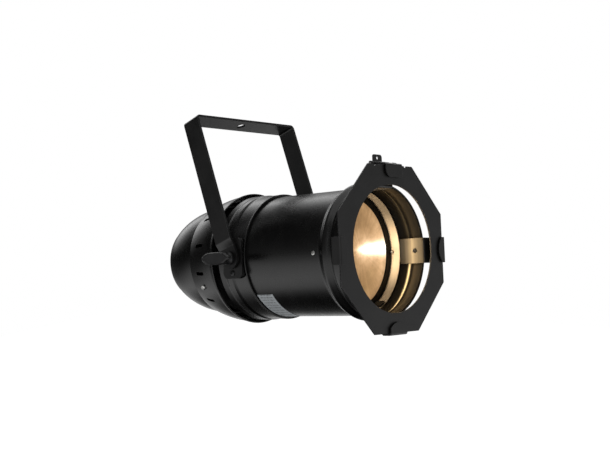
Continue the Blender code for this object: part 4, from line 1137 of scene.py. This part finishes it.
def build_latch(steel, zinc):
    axis_y, axis_z = 10.5, 99.0
    thick, half = 1.4, 15.0
    top = axis_z - 2.2 - 0.4
    path = [(44.6, 72.3 - 0.7), (10.0 - 0.7, 72.3 - 0.7), (10.0 - 0.7, top)]
    line = thick_line(rounded(path, [0.0, 1.8, 0.0], closed=False, steps=5), thick)
    base = raw_object("latch_base_strip", spun(prism([(r, y) for y, r in line], -half, half, "Z"),
                                               90.0))
    for low, high in ((-22.5, -17.0), (19.0, 24.5)):
        left = min(low, -half) if low < 0 else min(low, half - 3.0)
        right = -half + 3.0 if low < 0 else high
        join(base, prism(outline_box(left, right, top - 12.0, top - 0.2), 8.6, 10.0, "Y"),
             prism(outline_box(low, high, top - 2.0, axis_z - 1.3), 8.6, 10.0, "Y"),
             prism(circle((axis_y, axis_z), 2.2, 32), low, high, "X"))
    cut(base, prism(circle((axis_y, axis_z), 1.12, 24), -30.0, 30.0, "X"),
        spun(prism(circle((22.0, 0.0), 1.9, 24), 65.0, 80.0, "X"), 90.0))
    softened(base, 0.2, 2, 50.0)
    dressed(base, steel, "can", "steel_black", "latch_base")

    low, high = -11.5, 18.5
    roof, front = 98.4, -3.6
    path = [(7.2, roof - 0.7), (front + 0.7, roof - 0.7), (front + 0.7, roof - 16.0)]
    line = thick_line(rounded(path, [0.0, 1.8, 0.0], closed=False, steps=6), thick)
    shape = prism([(y, z) for y, z in line], low, high, "X")
    flap = raw_object("latch_flap_hook", shape)
    tab = rounded([(low, roof - 16.0), (high, roof - 16.0), (high, roof + 1.0),
                   (low, roof + 1.0)], [9.0, 4.0, 0.0, 0.0], steps=10)
    trim(flap, prism(tab, -10.0, 12.0, "Y"))
    barrel = prism(circle((axis_y, axis_z), 2.2, 32), -16.5, 10.0, "X")
    bridge = prism(outline_box(7.1, 9.9, roof - thick, roof), low, 9.7, "X")
    ear = rounded([(-16.0, 98.5), (0.0, 98.5), (0.0, 109.0), (-16.0, 109.0)],
                  [0.0, 0.0, 3.4, 2.2], steps=8)
    join(flap, barrel, bridge, prism(ear, 10.9, 12.3, "Y"))
    cut(flap, prism(circle((-8.0, 105.0), 1.9, 28), 5.0, 16.0, "Y"),
        prism(circle((axis_y, axis_z), 1.15, 24), -30.0, 30.0, "X"))
    softened(flap, 0.2, 2, 50.0)
    dressed(flap, steel, "latch", "steel_black", "latch_flap")

    pin = prism(circle((axis_y, axis_z), 1.0, 32), -23.2, 25.2, "X", 0.3, 3)
    dressed(raw_object("hinge_pin", pin), zinc, "can", "zinc", "latch_pin")
    build_spring(zinc, axis_y, axis_z)


def build_spring(zinc, axis_y, axis_z):
    turns, steps, coil_r, wire_r, sides = 8, 28, 1.72, 0.3, 10
    start, end = 11.2, 17.8
    centre = []
    for step in range(turns * steps + 1):
        angle = math.tau * step / steps
        x = start + (end - start) * step / (turns * steps)
        centre.append(Vector((x, axis_y + coil_r * math.cos(angle),
                              axis_z + coil_r * math.sin(angle))))
    centre.insert(0, Vector((start, axis_y + coil_r, axis_z - 5.0)))
    centre.append(Vector((end, axis_y + coil_r, axis_z - 6.4)))
    shape = bmesh.new()
    rings = []
    for number, point in enumerate(centre):
        before, after = centre[max(0, number - 1)], centre[min(len(centre) - 1, number + 1)]
        along = (after - before).normalized()
        side = along.cross(Vector((1.0, 0.2, 0.1))).normalized()
        other = along.cross(side)
        rings.append([shape.verts.new(point + (side * math.cos(a) + other * math.sin(a)) * wire_r)
                      for a in (math.tau * k / sides for k in range(sides))])
    for first, second in zip(rings, rings[1:]):
        best = min(range(sides), key=lambda k: sum(
            (first[i].co - second[(i + k) % sides].co).length for i in range(0, sides, 3)))
        for i in range(sides):
            j = (i + 1) % sides
            shape.faces.new((first[i], first[j], second[(j + best) % sides],
                             second[(i + best) % sides]))
    shape.faces.new(rings[0])
    shape.faces.new(rings[-1])
    bmesh.ops.recalc_face_normals(shape, faces=shape.faces)
    dressed(raw_object("latch_coil", shape), zinc, "can", "zinc", "latch_spring")


# ------------------------------------------------------------------ lens carriage

def build_carriage(paint, glass, plastic):
    front, edge, bulge, bulge_r = 60.5, 4.0, 16.0, 59.0
    rear = front + edge
    sphere = (bulge_r ** 2 + bulge ** 2) / (2 * bulge)
    reach = math.degrees(math.asin(bulge_r / sphere))
    back = arc((rear + bulge - sphere, 0.0), sphere, reach, 0.0, 20)
    back[-1] = (rear + bulge, 0.0)
    ribs = []
    for number in range(34):
        r = 64.5 * number / 33
        crown = 0.9 * (1.0 - (r / 64.5) ** 2)
        ribs.append((front + 0.9 - crown + 0.08 * math.cos(number * math.pi), r))
    ribs[0] = (ribs[0][0], 0.0)
    outline = ribs + [(front + 0.9, 65.5), (front + 0.9, 68.1), (rear, 68.1)] + back
    lens = raw_object("lens_glass", lathe(outline, 192))
    dressed(lens, glass, "carriage", "glass", "lens", smooth=60.0)

    lip_front = front - 2.3
    profile = rounded([(lip_front, RING_OPEN), (lip_front, 71.4), (rear, 71.4), (rear, 68.4),
                       (lip_front + 2.0, 68.4), (lip_front + 2.0, RING_OPEN)],
                      [0.7, 0.6, 0.2, 0.2, 0.3, 0.5], steps=4)
    ring = raw_object("lens_retaining_ring", lathe(profile, 192))
    tongue = rounded(outline_box(69.7, 71.0, 46.2, lip_front + 1.0), 0.4)
    join(ring, spun(prism(tongue, -5.5, 5.5, "Z", 0.2), -60.0))
    dressed(ring, paint, "carriage", "housing_black", "lens_ring")

    start = rear + 0.3
    profile = rounded([(start, 60.0), (start, 71.4), (96.0, 71.4), (96.0, 69.8),
                       (start + 2.0, 69.8), (start + 2.0, 60.0)], 0.4, steps=3)
    barrel = raw_object("lens_carriage_barrel", lathe(profile, 192))
    cut(barrel, spun(prism(circle((78.0, 0.0), 2.3, 24), 60.0, 76.0, "X"), -60.0))
    dressed(barrel, paint, "carriage", "housing_black", "lens_barrel")

    foot = TUBE_R - 6.5
    profile = [(foot, 0.0), (foot, 1.5), (foot + 0.6, 2.0), (TUBE_R + 0.5, 2.0),
               (TUBE_R + 0.5, 5.0), (TUBE_R + 1.5, 5.0), (TUBE_R + 1.7, 7.0), (82.0, 7.0),
               (83.0, 6.2), (83.0, 3.4), (82.5, 3.0), (82.5, 0.0)]
    sizes = [0.0, 0.1, 0.2, 0.2, 0.3, 0.2, 0.5, 0.8, 0.6, 0.3, 0.3, 0.0]
    shape = along_x(lathe(rounded(profile, sizes, closed=False, steps=3), 72))
    for vertex in shape.verts:
        radial = math.hypot(vertex.co.y, vertex.co.z)
        if radial > 6.5 and TUBE_R + 1.6 < vertex.co.x < 82.3:
            angle = math.atan2(vertex.co.z, vertex.co.y)
            shrink = 1.0 - 0.05 * (0.5 + 0.5 * math.cos(angle * 24.0))
            vertex.co.y *= shrink
            vertex.co.z *= shrink
    screw = raw_object("zoom_thumb_screw", spun(shifted(shape, (0.0, 78.0, 0.0)), -60.0))
    dressed(screw, plastic, "zoom_screw", "knob_black", "zoom_screw", smooth=40.0)


# ------------------------------------------------------------------ rear panel

def build_rear_panel(steel, plastic, window, zinc, cap):
    low, high = 322.2, 324.3
    panel = raw_object("control_panel", prism(circle((0.0, 0.0), 45.0, 160), low, high, "Y", 0.2))
    cutters = [prism(rounded(outline_box(-15.0, 15.0, 20.0, 34.0), 1.2), low - 2, high + 2, "Y")]
    for number in range(4):
        cutters.append(prism(circle(((number - 1.5) * 11.0, 13.0), 3.4, 32), low - 2, high + 2))
    for x in (-15.5, 15.5):
        cutters.append(prism(circle((x, -6.0), 10.9, 64), low - 2, high + 2))
    cutters.append(prism(inlet_outline(0.4), low - 2, high + 2))
    cut(panel, *cutters)
    softened(panel, 0.18, 2, 50.0)
    dressed(panel, steel, "can", "steel_black", "rear_panel")

    for number, (x, z) in enumerate(((-28.3, 28.3), (28.3, 28.3), (28.3, -28.3), (-28.3, -28.3),
                                     (-28.8, 5.6), (2.2, -17.6), (-2.2, 5.6), (28.8, -17.6)), 1):
        def turn_panel(shape, x=x, z=z):
            bmesh.ops.rotate(shape, verts=shape.verts, cent=(0.0, 0.0, 0.0),
                             matrix=Matrix.Rotation(math.pi / 2, 3, "Z"))
            return shifted(shape, (x, high + 0.05, z))
        size = 2.4 if number < 5 else 1.6
        screw_head(f"panel_screw_{number}", size, size * 0.42, 0.9, 1.4, zinc, "can", "zinc",
                   None, None, turn_panel)

    body = raw_object("display_window", prism(outline_box(-17.0, 17.0, 18.0, 36.0), 314.0, 321.9,
                                              "Y", 0.4))
    glass = prism(rounded(outline_box(-14.6, 14.6, 20.4, 33.6), 1.0), 318.0, 323.9, "Y", 0.35, 3)
    join(body, glass)
    dressed(body, window, "can", "display", "display")

    for number in range(4):
        x = (number - 1.5) * 11.0
        outline = [(319.9, 0.0), (319.9, 4.0), (321.9, 4.0), (321.9, 3.0), (326.1, 3.0),
                   (326.7, 2.4), (326.75, 1.6), (326.5, 0.0)]
        sizes = [0.0, 0.3, 0.3, 0.3, 0.5, 0.5, 0.5, 0.0]
        shape = lathe(rounded(outline, sizes, closed=False, steps=3), 56)
        knob = raw_object(f"push_button_{number + 1}", shifted(shape, (x, 0.0, 13.0)))
        dressed(knob, cap, f"button_{number + 1}", "plastic_black", f"button_{number + 1}",
                smooth=40.0)


def inlet_outline(grow):
    wide, low, high, corner = 13.2 + grow, -39.2 - grow, -20.8 + grow, 5.0
    return [(-wide, low), (wide, low), (wide, high - corner), (wide - corner, high),
            (corner - wide, high), (-wide, high - corner)]


def socket_profile(outer, face, floor):
    profile = [(304.0, 0.0), (304.0, 10.5), (face - 1.4, 10.5), (face - 1.4, 12.4), (face, 12.4)]
    sizes = [0.0, 0.4, 0.1, 0.3, 0.7]
    if floor is None:
        profile += [(face, 9.6), (face - 0.7, 9.2), (face - 0.7, 0.0)]
        sizes += [0.2, 0.2, 0.0]
    else:
        profile += [(face, 8.7), (floor, 8.7), (floor, 0.0)]
        sizes += [0.5, 0.3, 0.0]
    return rounded(profile, sizes, closed=False, steps=4)


def build_sockets(plastic, zinc):
    face = 326.0
    floor = face - 15.0
    spots = ((-3.6, 1.2), (3.6, 1.2), (0.0, -3.4))
    inlet = raw_object("data_in_connector", shifted(lathe(socket_profile(0, face, floor), 96),
                                                    (-15.5, 0.0, -6.0)))
    pins = [prism(circle((a - 15.5, b - 6.0), 1.2, 24), floor - 2.0, face - 5.4, "Y", 0.35, 3)
            for a, b in spots]
    key = prism(outline_box(-16.6, -14.4, 1.2, 3.4), floor - 1.0, face - 0.8, "Y")
    join(inlet, key)
    dressed(inlet, plastic, "can", "plastic_black", "dmx_in_socket")
    dressed(raw_object("data_in_pins", merged(*pins)), zinc, "can", "zinc")

    outlet = raw_object("data_out_connector", shifted(lathe(socket_profile(0, face, None), 96),
                                                      (15.5, 0.0, -6.0)))
    holes = [prism(circle((a + 15.5, b - 6.0), 1.5, 24), face - 11.0, face + 3.0, "Y")
             for a, b in spots]
    latch = prism(rounded(outline_box(13.0, 18.0, 1.6, 4.4), 0.6), face - 2.2, face + 0.2, "Y")
    cut(outlet, *holes, prism(outline_box(13.6, 17.4, 0.4, 1.5), face - 4.0, face + 3.0, "Y"))
    join(outlet, latch)
    dressed(outlet, plastic, "can", "plastic_black", "dmx_out_socket")

    top = 325.8
    bottom = top - 15.0
    body = raw_object("mains_inlet", prism(rounded(inlet_outline(0.0), 0.8), 300.0, top, "Y", 0.4))
    cut(body, prism(rounded(inlet_outline(-1.7), 0.6), bottom, top + 3.0, "Y"))
    blades = [prism(outline_box(x - 1.0, x + 1.0, -30.0 + z - 2.0, -30.0 + z + 2.0), bottom - 2.0,
                    top - 5.4, "Y", 0.3)
              for x, z in ((-7.0, -1.5), (7.0, -1.5), (0.0, 2.5))]
    dressed(body, plastic, "can", "plastic_black", "power_inlet")
    dressed(raw_object("mains_blades", merged(*blades)), zinc, "can", "zinc")


# ------------------------------------------------------------------ carried-over CAD nodes

def dress_nodes(materials):
    for node, material in materials.items():
        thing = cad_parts[node]
        thing.data.materials.clear()
        thing.data.materials.append(material)
        thing.data.shade_smooth()
        thing.data.set_sharp_from_angle(angle=math.radians(32.0))


def build():
    add_camera()
    add_studio()
    housing = black_paint("housing_paint")
    flat_steel = black_paint("flat_steel_paint", base=0.0085, rough=0.38, edge_wear_and_highlight=0.5)
    strap_paint = black_paint("strap_paint", base=0.009, rough=0.3, edge_wear_and_highlight=0.5)
    plastic = moulded_plastic("nylon_black", (0.012, 0.012, 0.0125), 0.42)
    socket_black = moulded_plastic("socket_black", (0.01, 0.01, 0.0105), 0.36, 0.4)
    dark_inside = black_paint("matt_inside", base=0.002, rough=0.8, peel=0.04, edge_wear_and_highlight=0.0, dust=0.0)
    # Painted beam light: the tube's inner wall is tan and dims with height, standing in for the lamp's warm
    # light on black paint.
    painted_beam_wall = lit_paint("painted_beam_light_tube_wall", (0.15, 0.128, 0.106), (0.19, 0.164, 0.138), 0.4,
                          light_falloff=(10.0, 50.0, 0.22), shine_level=0.2)
    # Painted beam light on the collar's inside: bands of light and shade along the beam and a painted bead
    # highlight.
    painted_beam_collar = lit_paint(
        "painted_beam_light_collar_wall", (0.017, 0.0125, 0.0055), (0.024, 0.018, 0.0085), 0.5,
        ((12.0, 0.1), (18.0, 0.45), (26.0, 1.0), (27.5, 0.25), (29.5, 0.12), (36.0, 0.2),
         (48.0, 0.05)),
        ((28.5, 0.0), (30.0, 0.1), (31.5, 0.6), (34.0, 0.95), (36.0, 0.2), (37.5, 0.0)),
        shine_level=0.12)
    # Painted beam light on the clip roots: a bright band near station 26 mm that fades towards the rear.
    painted_beam_clip = lit_paint(
        "painted_beam_light_clip_root", (0.115, 0.098, 0.07), (0.14, 0.12, 0.088), 0.5,
        ((10.0, 0.3), (16.0, 0.45), (21.0, 0.65), (26.0, 1.0), (28.5, 0.62), (34.0, 0.28),
         (38.0, 0.1), (45.0, 0.03)), shine_level=0.15)
    ring_black = lit_paint("lens_ring_black", (0.0015, 0.0013, 0.001), (0.003, 0.0026, 0.002), 0.5,
                           shine_level=0.15)
    button_cap = moulded_plastic("button_cap", (0.09, 0.09, 0.092), 0.5, 0.3)
    zinc = bright_metal("zinc_plate", (0.62, 0.62, 0.6), 0.26)
    black_zinc = bright_metal("black_zinc", (0.06, 0.06, 0.062), 0.35, metallic=0.85)
    brushed = bright_metal("brushed_aluminium", (0.75, 0.75, 0.76), 0.3, (1.0, 12.0, 1.0))
    lens_low, lens_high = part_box("lens")
    lens_mid = ((lens_low.x + lens_high.x) / 2, lens_low.y, (lens_low.z + lens_high.z) / 2)
    glass = lens_glass("lit_lens", lens_mid)
    label = label_paper("label_paper", *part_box("label"))

    build_tube(housing, painted_beam_wall)
    build_collar(housing, painted_beam_collar)
    build_rear_ring(housing)
    build_band(housing)
    build_dome(housing)
    build_label(label)
    build_screws(zinc, zinc, black_zinc)
    build_brackets(flat_steel)
    build_washers(fibre("washer_fibre"))
    build_yoke(strap_paint)
    build_knobs(plastic, zinc)
    build_gel_frame(flat_steel)
    build_clips(flat_steel, painted_beam_clip)
    build_latch(flat_steel, zinc)
    build_carriage(ring_black, glass, plastic)
    build_rear_panel(printed_panel("rear_panel_print"), plastic, dark_window("display_glass"), zinc, button_cap)
    build_sockets(socket_black, zinc)
    dress_nodes({
        "led_cob": phosphor("phosphor", lens_mid),
        "reflector": brushed,
        "heat_sink": brushed,
        "bulkhead": dark_inside,
        "dome_cage": dark_inside,
        "fan_frame": dark_inside,
        "fan_rotor": socket_black,
        "driver_tray": dark_inside,
        "led_driver": brushed,
        "control_board": circuit_board("circuit_board"),
    })


random.seed(7)
build()
